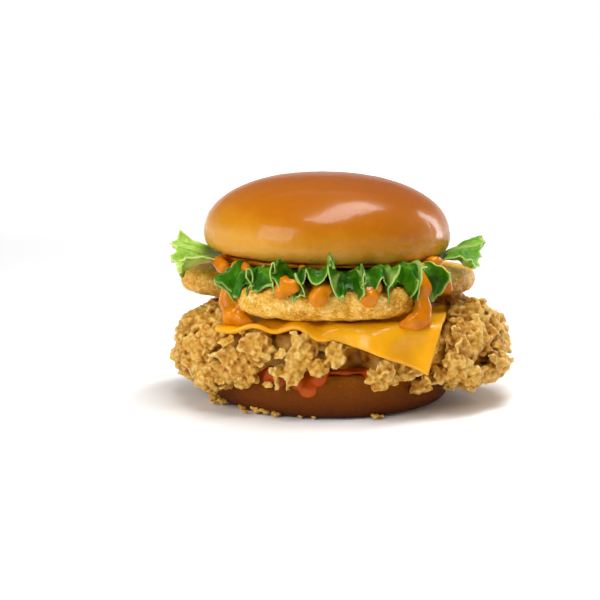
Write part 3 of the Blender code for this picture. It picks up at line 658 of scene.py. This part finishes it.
bm = bmesh.new()
bmesh.ops.create_uvsphere(bm, u_segments=240, v_segments=90, radius=1.0)
for vert in bm.verts:
    turn = math.atan2(vert.co.y, vert.co.x)
    lift = math.asin(max(-1.0, min(1.0, vert.co.z)))
    vert.co = fillet_point(turn, lift, BODY_INSET)
    vert.co.z = min(max(vert.co.z, HEEL_TOP + 1.2 * MM), CHEESE_LEVEL - 1.6 * MM)
roughen(bm, [(5.0, 1.6), (1.8, 0.6), (0.9, 0.25)])
layer = bm.verts.layers.float.new("ridge")
for vert in bm.verts:
    vert[layer] = 0.36 + 0.35 * noise.noise(vert.co * per_mm(2.5))
finish_piece("fillet_body", bm, batter_finish, ["chicken_fillet"])

# %% Nodules and flakes
BEARING_RATIO = 0.7548777
LIFT_RATIO = 0.5698403
GOLDEN_TURN = math.pi * (3.0 - math.sqrt(5.0))
NODULE_RADIUS = (1.0, 2.1)


def template(kind, **sizes):
    """A small mesh that is stamped many times."""
    bm = bmesh.new()
    getattr(bmesh.ops, kind)(bm, radius=1.0, **sizes)
    mesh = bpy.data.meshes.new(kind)
    bm.to_mesh(mesh)
    bm.free()
    return mesh


NODULE = template("create_icosphere", subdivisions=2)
PLATE = template("create_uvsphere", u_segments=20, v_segments=10)


def stamp(bm, shape, warp):
    """Adds the template to the mesh with each of its points moved by a function."""
    start = len(bm.verts)
    bm.from_mesh(shape)
    bm.verts.ensure_lookup_table()
    for vert in bm.verts[start:]:
        vert.co = warp(vert.co)


def nodule(bm, centre, semi, frame_of, seed):
    """One uneven ball of batter."""

    def warp(ball):
        swollen = 1.0 + 0.38 * noise.noise(ball * 1.3 + Vector((seed, 0.0, 0.0)))
        local = Vector((ball.x * semi[0], ball.y * semi[1], ball.z * semi[2])) * swollen
        return centre + frame_of @ local

    stamp(bm, NODULE, warp)


def flake(bm, centre, frame_of, length, width, thickness, bend, seed):
    """One bent sheet of batter with a ragged, curled rim."""

    def warp(ball):
        round_turn = math.atan2(ball.y, ball.x)
        reach = math.hypot(ball.x, ball.y)
        around = Vector((math.cos(round_turn) * 1.7, math.sin(round_turn) * 1.7, seed))
        ragged = 1.0 + 0.35 * noise.noise(around)
        frill = 0.16 * width * reach**3 * math.sin(5.0 * round_turn + seed)
        lift = bend * length * (ball.x * ball.x - 0.3) + frill
        x, y = ball.x * length / 2 * ragged, ball.y * width / 2 * ragged
        return centre + frame_of @ Vector((x, y, ball.z * thickness / 2 + lift))

    stamp(bm, PLATE, warp)


def frame_about(normal, spin):
    """Axes whose third is the normal, turned about it."""
    first = Matrix.Rotation(spin, 3, normal) @ normal.orthogonal().normalized()
    second = normal.cross(first).normalized()
    return Matrix((first, second, normal)).transposed()


def popcorn(bm, centre, normal, radius, draw):
    """A cluster: one big lump with nodules all over its outer side."""
    turned = frame_about(normal, draw.uniform(0, math.tau))
    base = (radius, radius * draw.uniform(0.75, 1.0), radius * 0.72)
    nodule(bm, centre, base, turned, draw.uniform(0, 100))
    count = int(9 + 1.4 * (radius / MM))
    for index in range(count):
        height = 1.0 - 1.05 * (index + 0.5) / count
        spread = math.sqrt(max(0.0, 1.0 - height * height))
        angle = index * GOLDEN_TURN + draw.uniform(-0.4, 0.4)
        way = turned @ Vector((spread * math.cos(angle), spread * math.sin(angle), height))
        size = draw.uniform(*NODULE_RADIUS) * MM
        stretch = draw.uniform(1.0, 1.9)
        place = centre + way * radius * draw.uniform(0.72, 1.0)
        leaning = frame_about(way, draw.uniform(0, math.tau))
        semi = (size * stretch, size, size * draw.uniform(0.9, 1.5))
        nodule(bm, place, semi, leaning, draw.uniform(0, 100))


print("nodule", len(NODULE.polygons), "faces, flake", len(PLATE.polygons), "faces")

# %% The crust, in four stretches
FRONT_VOXEL = 0.48 * MM
BACK_VOXEL = 0.65 * MM
CLUSTERS = 330
CLUSTER_RADIUS = (2.4, 4.6)
CLUSTER_LIFT = (-2.2, 0.8)
FLAKES = 230
FLAKE_LENGTH = (5.0, 10.0)
FLAKE_LIFT = (1.0, 3.6)
FLAKE_LEAN = (25, 75)
FLAKE_THICKNESS = 1.7 * MM
FLAKE_BEND = 0.22
LOWEST_CRAG = 2.5 * MM
CREVICE_HALF = math.radians(2.5)

# Big lumps that hang over the heel or curl up, as (x, y, z, size) in mm
LOBES = (
    (-51.5, -22, 32, 7.6),
    (-54, -10, 17, 8),
    (-46.5, -31, 14, 7.6),
    (-50, 22, 15, 7.6),
    (57, -22, 36, 7.6),
    (64, -6, 28, 8.4),
    (62, -14, 16, 7.2),
    (54, -27, 13.5, 6.8),
    (59, 22, 20, 8.4),
    (66, -16, 22, 5.6),
    (58, -27, 27, 6),
    (-56, -16, 25, 6),
)

# Big flakes that show at the front, as (x, z, length, width, lean in degrees) in mm
FRONT_FLAKES = (
    (-14, 22, 17, 9, 80),
    (-12, 31, 9, 7, 60),
    (48.5, 25, 18, 9, 100),
    (-30, 30, 13, 8, 20),
    (1, 27, 11, 7, 95),
    (20, 20, 10, 7, 60),
    (-38, 24, 14, 8, 140),
)


def clear_of_layers(point):
    """Whether a crag there stays out of the bun, the cheese and the patties."""
    x, y, z = point
    from_axis = math.hypot(x, y)
    over_heel = z > HEEL_TOP + 2.0 * MM or from_axis > BUN_RADIUS + 1.0 * MM
    under_cheese = z < CHEESE_LEVEL - 2.5 * MM or x > 50 * MM or x < -47 * MM
    return over_heel and under_cheese and z > LOWEST_CRAG + 2 * MM


def behind_cheese(centre, reach):
    """Draws a crag back where the hanging front of the slice covers it."""
    flap_foot = CHEESE_LEVEL - 3 * MM - 0.36 * max(0.0, centre.x + 12 * MM)
    beside = centre.y > -30 * MM or not -10 * MM < centre.x < 46 * MM
    if beside or centre.z + 0.6 * reach < flap_foot:
        return centre
    flap = FOLD_LINE + FOLD_CURVE * max(0.0, centre.x) ** 2 - 4 * MM
    return Vector((centre.x, max(centre.y, flap + reach), centre.z))


def crust_stretch(name, start, end, voxel):
    """The crust between two bearings, as one fused and crinkled shell."""
    draw = random.Random(name)
    bm = bmesh.new()
    for index in range(CLUSTERS):
        turn = math.tau * ((index * BEARING_RATIO) % 1.0) - math.pi
        lift = math.radians(72.0) * (2.0 * ((index * LIFT_RATIO) % 1.0) - 1.0)
        if not start <= turn < end or abs(turn - CREVICE_TURN) < CREVICE_HALF:
            continue
        normal = fillet_normal(turn, lift)
        radius = draw.uniform(*CLUSTER_RADIUS) * MM
        centre = fillet_point(turn, lift) + normal * draw.uniform(*CLUSTER_LIFT) * MM
        centre = behind_cheese(centre, radius + 2.4 * MM)
        if clear_of_layers(centre + normal * 0.3 * radius):
            popcorn(bm, centre, normal, radius, draw)
    for x, y, z, size in LOBES:
        if start <= math.atan2(y, x) < end:
            centre = Vector((x, y, z)) * MM
            outward = (centre - FILLET_CENTRE).normalized()
            popcorn(bm, centre, outward, size * MM * 0.86, draw)
            popcorn(bm, centre - outward * 6 * MM, outward, size * MM, draw)
    for index in range(FLAKES):
        turn = math.tau * ((index * BEARING_RATIO + 0.37) % 1.0) - math.pi
        lift = math.radians(60.0) * (2.0 * ((index * LIFT_RATIO + 0.61) % 1.0) - 1.0)
        if not start <= turn < end or abs(turn - CREVICE_TURN) < CREVICE_HALF:
            continue
        normal = fillet_normal(turn, lift)
        centre = fillet_point(turn, lift) + normal * draw.uniform(*FLAKE_LIFT) * MM
        centre = behind_cheese(centre, 3.5 * MM)
        if not clear_of_layers(centre):
            continue
        turned = frame_about(normal, draw.uniform(0, math.tau))
        tilt = Matrix.Rotation(math.radians(draw.uniform(*FLAKE_LEAN)), 3, "X")
        length = draw.uniform(*FLAKE_LENGTH) * MM
        width = length * draw.uniform(0.45, 0.8)
        flake(bm, centre, turned @ tilt, length, width, FLAKE_THICKNESS, FLAKE_BEND, draw.uniform(0, 50))
    for x, z, length, width, lean in FRONT_FLAKES:
        at = Vector((x, -53.5 + 0.0052 * x * x, z)) * MM
        if start <= math.atan2(at.y, at.x) < end:
            upright = Matrix.Rotation(math.radians(90), 3, "X")
            facing = upright @ Matrix.Rotation(math.radians(lean), 3, "Z")
            flake(bm, at, facing, length * MM, width * MM, 2.2 * MM, 0.10, 0.3 * x)
    bm = skin_over(bm, voxel)
    roughen(bm, [(2.6, 0.55), (1.2, 0.42)])
    for vert in bm.verts:
        vert.co.z = max(vert.co.z, LOWEST_CRAG)
    # Painted light and shade: the hollows are kept dark and the tips pale for the colour.
    store_relief_shade(bm, 14, 0.7 * MM)
    return finish_piece(name, bm, batter_finish, ["chicken_fillet"])


crust_stretch("crust_front_left", math.radians(-180.0), math.radians(-86.0), FRONT_VOXEL)
crust_stretch("crust_front_right", math.radians(-86.0), math.radians(-4.0), FRONT_VOXEL)
crust_stretch("crust_back_right", math.radians(-4.0), math.radians(90.0), BACK_VOXEL)
crust_stretch("crust_back_left", math.radians(90.0), math.radians(180.0), BACK_VOXEL)

# %% [markdown]
# Crumbs of batter have dropped at the heel's foot. They are the same nodules in miniature, and each one
# lies on the table against the bread.

# %% Crumbs
# Crumbs, as (x, y, size) in mm
CRUMBS = (
    (-46.5, -16, 2.4),
    (-43.5, -22.5, 1.8),
    (-47, -22, 1.3),
    (-35, -31.5, 1.5),
    (-29.5, -36.5, 2.3),
    (-25.5, -39.5, 2),
    (-21.5, -42.5, 1.5),
    (-33.5, -37.5, 1.1),
    (-12, -45.5, 0.9),
    (-7, -46.5, 0.8),
    (16.5, -46, 1.5),
    (19, -45, 1),
)

bm = bmesh.new()
draw = random.Random("crumbs")
for x, y, size in CRUMBS:
    centre = Vector((x, y, 0.75 * size)) * MM
    turned = frame_about(Vector((0.0, 0.0, 1.0)), draw.uniform(0, math.tau))
    for index in range(7):
        spin = index * GOLDEN_TURN
        way = Vector((math.cos(spin), math.sin(spin), 0.25 * math.sin(2.0 * index)))
        bit = draw.uniform(0.35, 0.62) * size * MM
        stretch = (bit * draw.uniform(1.0, 1.8), bit, bit)
        nodule(bm, centre + way * 0.62 * size * MM, stretch, turned, draw.uniform(0, 100))
bm = skin_over(bm, 0.3 * MM)
roughen(bm, [(1.0, 0.2)])
for vert in bm.verts:
    vert.co.z = max(vert.co.z, 0.0)
# Painted light and shade: the crumbs' hollows are kept dark and their tips pale for the colour.
store_relief_shade(bm, 8, 0.5 * MM)
finish_piece("crumbs", bm, batter_finish, [])

# %% [markdown]
# The sauces are emulsions, like mayonnaise: opaque but deep-coloured, wet enough to carry sharp
# highlights, and thick enough to hang in fat drops. Each one is a puddle with ropes and beads run down
# over the edge, fused by a skin and smoothed until every join flows.

# %% The sauces' finishes


def sauce_finish(name, deep, bright):
    """A wet, glossy sauce between two shades of one colour."""
    made, tree, shader = new_finish(
        name,
        Roughness=0.25,
        IOR=1.4,
        Subsurface_Weight=0.05,
        Subsurface_Radius=(3.0 * MM, 1.2 * MM, 0.3 * MM),
        Subsurface_Scale=1.0,
        Specular_IOR_Level=0.08,
        Coat_Weight=0.35,
        Coat_Roughness=0.05,
    )
    place = add_node(tree, "ShaderNodeTexCoord")
    swirl = add_node(
        tree,
        "ShaderNodeTexNoise",
        {"Scale": per_mm(9), "Detail": 2.0, "Roughness": 0.5},
        Vector=(place, "Object"),
    )
    stops = [(0.3, deep), (0.7, bright)]
    blend = add_node(tree, "ShaderNodeValToRGB", {"stops": stops}, Fac=(swirl, "Fac"))
    tree.links.new(blend.outputs["Color"], shader.inputs["Base Color"])
    streaked = add_node(tree, "ShaderNodeBump", {"Distance": 0.2 * MM}, Height=(swirl, "Fac"))
    tree.links.new(streaked.outputs["Normal"], shader.inputs["Normal"])
    return made


# Mayonnaise with paprika, orange and wet. Under the fillet it is a chilli sauce, redder and deeper.
orange_finish = sauce_finish("burger_sauce", "#BE6600", "#D68200")
chilli_finish = sauce_finish("sweet_chilli_sauce", "#A83C00", "#BC5200")
print(orange_finish.name, chilli_finish.name)

# %% Ropes, beads and puddles
BEAD = template("create_uvsphere", u_segments=20, v_segments=12)
SAUCE_VOXEL = 0.45 * MM


def bead(bm, centre, radius, stretch=(1.0, 1.0, 1.0)):
    """One round drop."""

    def warp(ball):
        swollen = Vector((ball.x * stretch[0], ball.y * stretch[1], ball.z * stretch[2]))
        return centre + swollen * radius

    stamp(bm, BEAD, warp)


def rope(bm, run, flat=1.0):
    """A run of overlapping drops through (x, y, z, radius) stations in millimetres."""
    for first, second in zip(run, run[1:]):
        apart = (Vector(second[:3]) - Vector(first[:3])).length
        steps = max(2, int(apart / 0.6))
        for step in range(steps + 1):
            mixed = [a + (b - a) * step / steps for a, b in zip(first, second)]
            bead(bm, Vector(mixed[:3]) * MM, mixed[3] * MM, (1.0, flat, 1.0))


def puddle(bm, radius, low_z, high_z, ragged):
    """A thin uneven disc of sauce, all in millimetres."""
    disc = bmesh.new()
    bmesh.ops.create_cone(
        disc,
        cap_ends=True,
        segments=120,
        radius1=radius * MM,
        radius2=radius * MM,
        depth=(high_z - low_z) * MM,
        matrix=Matrix.Translation((0.0, 0.0, (high_z + low_z) / 2 * MM)),
    )
    for vert in disc.verts:
        stretch = 1.0 + ragged * noise.noise(Vector((vert.co.x, vert.co.y, 0.0)) * per_mm(15))
        vert.co.x *= stretch
        vert.co.y *= stretch
    mesh = bpy.data.meshes.new("disc")
    disc.to_mesh(mesh)
    disc.free()
    bm.from_mesh(mesh)
    bpy.data.meshes.remove(mesh)


def sauce_piece(name, bm, material, node):
    """Fuses a sauce, lets it flow smooth and leaves it a little uneven."""
    bm = skin_over(bm, SAUCE_VOXEL)
    relax(bm, 8)
    roughen(bm, [(6.5, 0.9), (3.0, 0.3)])
    relax(bm, 3)
    return finish_piece(name, bm, material, [node])


print("bead", len(BEAD.polygons), "faces")

# %% The sauce under the fillet
# Drips over the heel's edge, as (bearing in degrees, height of its end, radius), the last two in mm
HEEL_DRIPS = (
    (-37, 13, 3.6),
    (-30, 12.8, 4),
    (-23, 12, 4.2),
    (-16.5, 11.2, 4),
    (-11, 9, 3.6),
    (-5, 13.6, 3.6),
    (19, 12.8, 3.8),
    (24.5, 10.8, 4),
    (31, 13, 4),
    (38, 12.6, 4),
    (44, 10, 3.6),
    (150, 11, 4.4),
    (171, 9.5, 4.6),
    (205, 11.5, 4.4),
)
HEEL_SAUCE_PROUD = 1.0

bm = bmesh.new()
puddle(bm, 46.5, 17.0, 18.7, 0.03)
for bearing, end_height, radius in HEEL_DRIPS:
    turn = math.radians(bearing)
    stations = (
        (44.0, 17.4, 2.2),
        (48.4 + HEEL_SAUCE_PROUD - radius * 0.8, 15.4, radius * 0.8),
        (50.4 + HEEL_SAUCE_PROUD - radius, end_height + 0.9 * radius, radius),
    )
    rope(bm, [(out * math.sin(turn), -out * math.cos(turn), z, size) for out, z, size in stations])
sauce_piece("sauce_under_fillet", bm, chilli_finish, "sauce_lower")

# %% The sauce on the hash browns
# Runs of sauce over the hash browns, as stations of (x, y, z, radius) in mm
HASH_DRIPS = (
    ((-28, -26, 54.2, 2.2), (-35.5, -31.5, 54.2, 3), (-38.8, -34.5, 52.6, 3.9), (-39.4, -35.3, 48.5, 3.1)),
    ((-39.4, -35.3, 48.5, 3.1), (-40, -35.8, 44.5, 3.9), (-38.8, -37, 40.6, 3.6), (-37.6, -38.4, 38.4, 4.8)),
    ((-37.6, -38.4, 38.4, 4), (-34, -42, 37.6, 3), (-31, -43.6, 37.2, 1.8)),
    ((-35.5, -31.5, 54, 3), (-33.8, -37.5, 51.6, 3), (-34.2, -38.4, 47, 1.9), (-34.6, -39.2, 42.5, 2.7)),
    ((-20, -40, 54.2, 2.4), (-19, -50, 53.6, 3), (-17.8, -54, 52, 3.4), (-14.6, -54.8, 52.4, 2.6)),
    ((-18.6, -54, 52.6, 3), (-19.4, -54.8, 50.8, 2.9)),
    ((-6, -40, 54.2, 2.6), (-5.6, -51, 53.4, 2.8), (-5, -55, 51.6, 2.9), (-5.4, -56, 48.6, 3.8)),
    ((-2.6, -51, 53, 2), (-2, -55, 51.6, 2.2)),
    ((12, -40, 54.2, 2.4), (12, -51, 53.4, 2.6), (12.2, -54.6, 51.8, 2.3), (13.4, -55.4, 48.8, 3.6)),
    ((13.2, -52, 53.2, 2.2), (16, -53.6, 52.6, 2.6)),
    ((30, -30, 54.2, 2.4), (32.6, -40.5, 54, 4), (34.4, -44.4, 50.8, 3.4), (33.8, -45, 47, 2.5)),
    ((33.8, -45, 47, 2.5), (34.8, -45.8, 43, 3.3), (33.6, -46.6, 39.4, 3.9), (30.6, -48.4, 37.8, 3.4)),
    ((30.6, -48.4, 37.8, 3), (26.6, -49.8, 37.2, 1.8)),
    ((37, -16.5, 54.2, 1.8), (42.5, -23.5, 54.6, 3), (44.6, -25.2, 52, 2.8), (44.8, -25.6, 48.2, 3.2)),
)

bm = bmesh.new()
puddle(bm, 44.0, 54.2, 55.9, 0.04)
for run in HASH_DRIPS:
    rope(bm, run)
sauce_piece("sauce_over_hash_browns", bm, orange_finish, "sauce_hash")

# %% The sauce under the crown
# Runs of sauce that squeeze out under the crown, as stations of (x, y, z, radius) in mm
CROWN_DRIPS = (
    ((-30, -26, 58.4, 1.4), (-36.5, -33, 57.6, 2.4), (-33, -38.5, 57, 2.2)),
    ((-36.5, -33, 57.4, 2.2), (-37.5, -36, 55.6, 2.4)),
    ((-40, -20, 58.4, 1.4), (-44, -23.5, 57.8, 2.4), (-42, -28, 56.4, 2.4)),
    ((34, -25, 58.4, 1.4), (39.5, -31, 58, 2.4), (42, -27, 58.6, 2)),
    ((30, -36, 58, 1.4), (35, -36, 57.8, 2)),
    ((-12, -44, 58.6, 1.4), (-11, -47.5, 58.4, 1.8)),
    ((-2, -44, 58.6, 1.4), (-1, -48, 58.6, 1.6)),
)

bm = bmesh.new()
puddle(bm, 44.5, 57.6, 59.4, 0.03)
for run in CROWN_DRIPS:
    rope(bm, run)
sauce_piece("sauce_under_crown", bm, orange_finish, "sauce_crown")

# %% [markdown]
# Frilly lettuce is a sheet that has grown more rim than its middle has room for, so the rim buckles into
# waves, and the waves into smaller waves. Each leaf is a grid bent round the burger: flat and hidden
# inside, ruffled where it comes out. The distance from the rim and the run of the veins are attributes.

# %% The lettuce's finish


def leaf_finish(name, deep, middle, bright, rim_colour):
    """A fresh leaf: waxy, light coming through, paler at its rim and its veins."""
    made, tree, shader = new_finish(
        name,
        Roughness=0.38,
        IOR=1.4,
        Subsurface_Weight=0.10,
        Subsurface_Radius=(0.6 * MM, 1.2 * MM, 0.3 * MM),
        Subsurface_Scale=1.0,
        Specular_IOR_Level=0.25,
    )
    place = add_node(tree, "ShaderNodeTexCoord")
    rim = add_node(tree, "ShaderNodeAttribute", {"attribute_name": "rim"})
    vein = add_node(tree, "ShaderNodeAttribute", {"attribute_name": "vein"})
    mottle = add_node(
        tree,
        "ShaderNodeTexNoise",
        {"Scale": per_mm(7), "Detail": 4.0, "Roughness": 0.6},
        Vector=(place, "Object"),
    )
    stops = [(0.28, deep), (0.5, middle), (0.75, bright)]
    body = add_node(tree, "ShaderNodeValToRGB", {"stops": stops}, Fac=(mottle, "Fac"))
    veined = add_node(tree, "ShaderNodeMix", {"data_type": "RGBA"}, Factor=(vein, "Fac"))
    tree.links.new(body.outputs["Color"], veined.inputs["A"])
    veined.inputs["B"].default_value = linear(rim_colour)
    edged = add_node(tree, "ShaderNodeMix", {"data_type": "RGBA"}, Factor=(rim, "Fac"))
    tree.links.new(veined.outputs["Result"], edged.inputs["A"])
    edged.inputs["B"].default_value = linear(rim_colour)
    tree.links.new(edged.outputs["Result"], shader.inputs["Base Color"])
    blister = add_node(
        tree,
        "ShaderNodeTexNoise",
        {"Scale": per_mm(2.2), "Detail": 2.0, "Roughness": 0.5},
        Vector=(place, "Object"),
    )
    blistered = add_node(tree, "ShaderNodeBump", {"Distance": 0.5 * MM}, Height=(blister, "Fac"))
    ribbed = add_node(
        tree,
        "ShaderNodeBump",
        {"Distance": 0.2 * MM},
        Height=(vein, "Fac"),
        Normal=(blistered, "Normal"),
    )
    tree.links.new(ribbed.outputs["Normal"], shader.inputs["Normal"])
    return made


# Frilly lettuce: the outer leaves are deep green, and those nearer the heart are paler and yellower.
leaf_green = leaf_finish("lettuce_green", "#163E02", "#326C06", "#66A01A", "#B8D06C")
leaf_pale = leaf_finish("lettuce_pale", "#6E9A20", "#8EB436", "#AECC56", "#D2E08C")
leaf_right_green = leaf_finish("lettuce_mid_green", "#3E7A0C", "#5E9818", "#86B432", "#C4D880")
print(leaf_green.name, leaf_pale.name)

# %% The leaves
LEAF_LEVEL = 56.7 * MM
LEAF_INNER_RADIUS = 9 * MM
RUFFLE_START = 45 * MM
LEAF_REST = 1.2 * MM
LEAF_THICKNESS = 0.5 * MM
FLAT_SHARE = 0.40
# Each leaf's bearings and folds in degrees, its waves to the full circle, and its lengths in mm
LEAVES = {
    "lettuce_front": {
        "start": -47.0, "end": 45.0, "rim": 56.0, "hang": 15.0, "teeth": 1.9, "seed": 1.3,
        "waves": 33.0, "height": 5.0, "sway": 2.4, "fine": 2.9, "crumple": 3.6,
        "rise": 30.0, "fall": 10.0, "toss": 44.0, "slope": 0.0,
        "middle": 0.02, "level_span": 0.36, "droop": 16.0,
    },
    "lettuce_back": {
        "start": 128.0, "end": 232.0, "rim": 55.0, "hang": 10.5, "teeth": 2.0, "seed": 4.1,
        "waves": 27.0, "height": 4.6, "sway": 2.0, "fine": 2.2, "crumple": 2.6,
        "rise": 30.0, "fall": 14.0, "toss": 42.0, "slope": 0.0,
        "middle": 3.14, "level_span": 0.40, "droop": 18.0,
    },
    "lettuce_left": {
        "start": -102.0, "end": -62.0, "rim": 64.0, "hang": 20.0, "teeth": 1.2, "seed": 2.6,
        "waves": 8.0, "height": 3.4, "sway": 1.4, "fine": 0.8, "crumple": 2.2,
        "rise": 22.0, "fall": -14.0, "toss": 30.0, "slope": -34.0,
        "middle": -1.45, "level_span": 1.0, "droop": 0.0,
    },
    "lettuce_right": {
        "start": 62.0, "end": 98.0, "rim": 59.5, "hang": 16.0, "teeth": 1.4, "seed": 0.4,
        "waves": 9.0, "height": 3.2, "sway": 1.4, "fine": 0.9, "crumple": 2.2,
        "rise": 26.0, "fall": -16.0, "toss": 30.0, "slope": 40.0,
        "middle": 1.4, "level_span": 1.0, "droop": 0.0,
    },
}


def hash_top(x, y):
    """Height of the front hash brown's upper face over a point, or the foot of the stack beside it."""
    power = 2.0 / FRONT_HASH_OUTLINE
    spread = (abs(x - FRONT_HASH_CENTRE.x) / FRONT_HASH_SEMI.x) ** power
    spread += (abs(y - FRONT_HASH_CENTRE.y) / FRONT_HASH_SEMI.y) ** power
    flat = spread ** (1.0 / power)
    if flat >= 1.0:
        return 0.0
    swell = (1.0 - flat ** (2.0 / HASH_FLANK)) ** (HASH_FLANK / 2.0)
    return FRONT_HASH_CENTRE.z + FRONT_HASH_SEMI.z * swell


def leaf_point(turn, share, leaf):
    """A point of a leaf by its bearing from the front and its share of the way from stem to rim."""
    seed = leaf["seed"]
    rim = leaf["rim"] * MM
    tooth = abs(noise.noise(Vector((turn * 34.0, seed, 3.0))))
    tooth += 0.6 * abs(noise.noise(Vector((turn * 85.0, seed, 9.0))))
    blade = LEAF_INNER_RADIUS + (RUFFLE_START - LEAF_INNER_RADIUS) * min(1.0, share / FLAT_SHARE)
    frill = max(0.0, share - FLAT_SHARE) / (1.0 - FLAT_SHARE)
    length = (leaf["hang"] + leaf["teeth"] * (1.8 * tooth - 0.4) * frill) * MM
    swing = math.radians(leaf["rise"]) * (1.0 - frill) - math.radians(leaf["fall"]) * frill
    away = abs(turn - leaf["middle"]) - leaf["level_span"]
    swing -= math.radians(leaf["droop"]) * smoothstep(away / 0.35) * frill
    swing += math.radians(leaf["toss"]) * noise.noise(Vector((turn * 8.0, seed, 2.0))) * frill
    swing += math.radians(leaf["slope"]) * (turn - leaf["middle"]) * frill
    radius = blade + length * frill * math.cos(swing)
    height = length * frill * math.sin(swing)
    drift = 1.5 * noise.noise(Vector((turn * 4.0, seed, 0.5)))
    wave = signed_power(math.sin(turn * leaf["waves"] + seed + drift), 0.6)
    second = math.sin(turn * leaf["waves"] * 0.57 + 2.1 * seed)
    fine = math.sin(turn * leaf["waves"] * 2.7 + 4.0 * noise.noise(Vector((turn * 9.0, seed, 1.0))))
    push = frill * leaf["height"] * (0.62 * wave + 0.5 * second)
    push += frill * frill * leaf["fine"] * fine
    crumple = frill * leaf["crumple"] * noise.noise(Vector((turn * 22.0, share * 7.0, seed + 5.0)))
    radius += (0.8 * push + crumple) * MM * math.cos(swing + math.pi / 2 - 0.7)
    height += (push + crumple) * MM * math.sin(swing + math.pi / 2 - 0.3)
    sway = frill * leaf["sway"] * math.cos(turn * leaf["waves"] + seed + drift)
    sway += frill * frill * 0.9 * math.cos(turn * leaf["waves"] * 2.7 + 1.0)
    angle = turn + sway * MM / rim
    x, y = radius * math.sin(angle), -radius * math.cos(angle)
    return Vector((x, y, max(LEAF_LEVEL + height, hash_top(x, y) + LEAF_REST)))


def lettuce_leaf(node, material, steps, rings):
    """One leaf with its rim and veins marked."""
    leaf = LEAVES[node]
    start, end = math.radians(leaf["start"]), math.radians(leaf["end"])
    bm = bmesh.new()
    bmesh.ops.create_grid(bm, x_segments=steps, y_segments=rings, size=0.5)
    rim_layer = bm.verts.layers.float.new("rim")
    vein_layer = bm.verts.layers.float.new("vein")
    for vert in bm.verts:
        across, share = vert.co.x + 0.5, (vert.co.y + 0.5) ** 0.75
        turn = start + (end - start) * across
        edge = max(share, 1.0 - 12.0 * min(across, 1.0 - across))
        vert[rim_layer] = 0.75 * smoothstep((edge - 0.975) / 0.025)
        branch = noise.noise(Vector((turn * 11.0, share * 2.0, leaf["seed"])))
        near_vein = smoothstep((0.10 - abs(branch)) / 0.08)
        vert[vein_layer] = 0.5 * near_vein * smoothstep((share - 0.3) / 0.4)
        vert.co = leaf_point(turn, share, leaf)
    bmesh.ops.triangulate(bm, faces=bm.faces)
    bmesh.ops.recalc_face_normals(bm, faces=bm.faces)
    obj = finish_piece(node + "_frilled", bm, material, [node])
    wall = obj.modifiers.new("Thickness", "SOLIDIFY")
    wall.thickness = LEAF_THICKNESS
    wall.offset = 0.0
    return obj


lettuce_leaf("lettuce_front", leaf_green, 420, 60)
lettuce_leaf("lettuce_back", leaf_green, 360, 50)
lettuce_leaf("lettuce_left", leaf_pale, 90, 60)
lettuce_leaf("lettuce_right", leaf_right_green, 90, 60)

# %% [markdown]
# A studio for food is white all round, with one big soft box above for the shine on the crown, one from
# the upper front left that shapes the crags, and a strip behind at the right for the bright edge. The
# camera is a short telephoto a little above the table, as the photograph's is.

# %% Camera
CAMERA_PLACE = Vector((-0.0122, -0.576, 0.1325))
CAMERA_PITCH = math.radians(9.25)
camera_data = bpy.data.cameras.new("camera")
camera_data.lens = 85
camera_data.sensor_width = 36
camera_data.clip_start = 0.01
camera = bpy.data.objects.new("camera", camera_data)
bpy.context.scene.collection.objects.link(camera)
camera.location = CAMERA_PLACE
camera.rotation_euler = (math.pi / 2 - CAMERA_PITCH, 0.0, 0.0)
bpy.context.scene.camera = camera
print("camera at", tuple(round(v, 3) for v in camera.location))

# %% Lights, surroundings and floor


def soft_box(name, place, size, power, colour="#FFFFFF"):
    """A rectangular light that faces the burger."""
    data = bpy.data.lights.new(name, "AREA")
    data.shape = "RECTANGLE"
    data.size, data.size_y = size
    data.energy = power
    data.color = linear(colour)[:3]
    obj = bpy.data.objects.new(name, data)
    bpy.context.scene.collection.objects.link(obj)
    obj.location = place
    facing = Vector((0.0, 0.0, 0.045)) - Vector(place)
    obj.rotation_euler = facing.to_track_quat("-Z", "Y").to_euler()
    return obj


soft_box("overhead", (0.10, -0.06, 0.75), (0.75, 0.24), 6.2)
soft_box("front_left", (-0.56, -0.46, 0.40), (0.46, 0.46), 3.3)
soft_box("rim_right", (0.50, 0.34, 0.20), (0.12, 0.45), 1.5)
wash = soft_box("backdrop_wash", (0.0, 2.4, 1.4), (5.0, 2.8), 110.0)
wash.rotation_euler = (0.0, 0.0, 0.0)
wash.data.spread = math.radians(85)

world = bpy.data.worlds.new("studio")
world.use_nodes = True
tree = world.node_tree
sky = tree.nodes["Background"]
sky.inputs["Strength"].default_value = 1.0
direction = add_node(tree, "ShaderNodeTexCoord")
height = add_node(tree, "ShaderNodeSeparateXYZ", Vector=(direction, "Generated"))
ROOM_STOPS = [(0.10, "#FFFFFF"), (0.30, "#7A7A7A"), (1.0, "#646464")]
room = add_node(tree, "ShaderNodeValToRGB", {"stops": ROOM_STOPS}, Fac=(height, "Z"))
tree.links.new(room.outputs["Color"], sky.inputs["Color"])
bpy.context.scene.world = world
bpy.context.scene.view_settings.view_transform = "Standard"

bm = bmesh.new()
bmesh.ops.create_grid(bm, x_segments=1, y_segments=1, size=3.0)
mesh = bpy.data.meshes.new("floor")
bm.to_mesh(mesh)
bm.free()
# Matt painted board: white, so that the food's edges stay clear and its shadow stays soft.
floor_finish, tree, shader = new_finish("white_table", Roughness=0.7)
shader.inputs["Base Color"].default_value = linear("#FAFAFA")
mesh.materials.append(floor_finish)
floor = bpy.data.objects.new("floor", mesh)
bpy.context.scene.collection.objects.link(floor)
floor.location.z = -0.0003
print("studio ready")
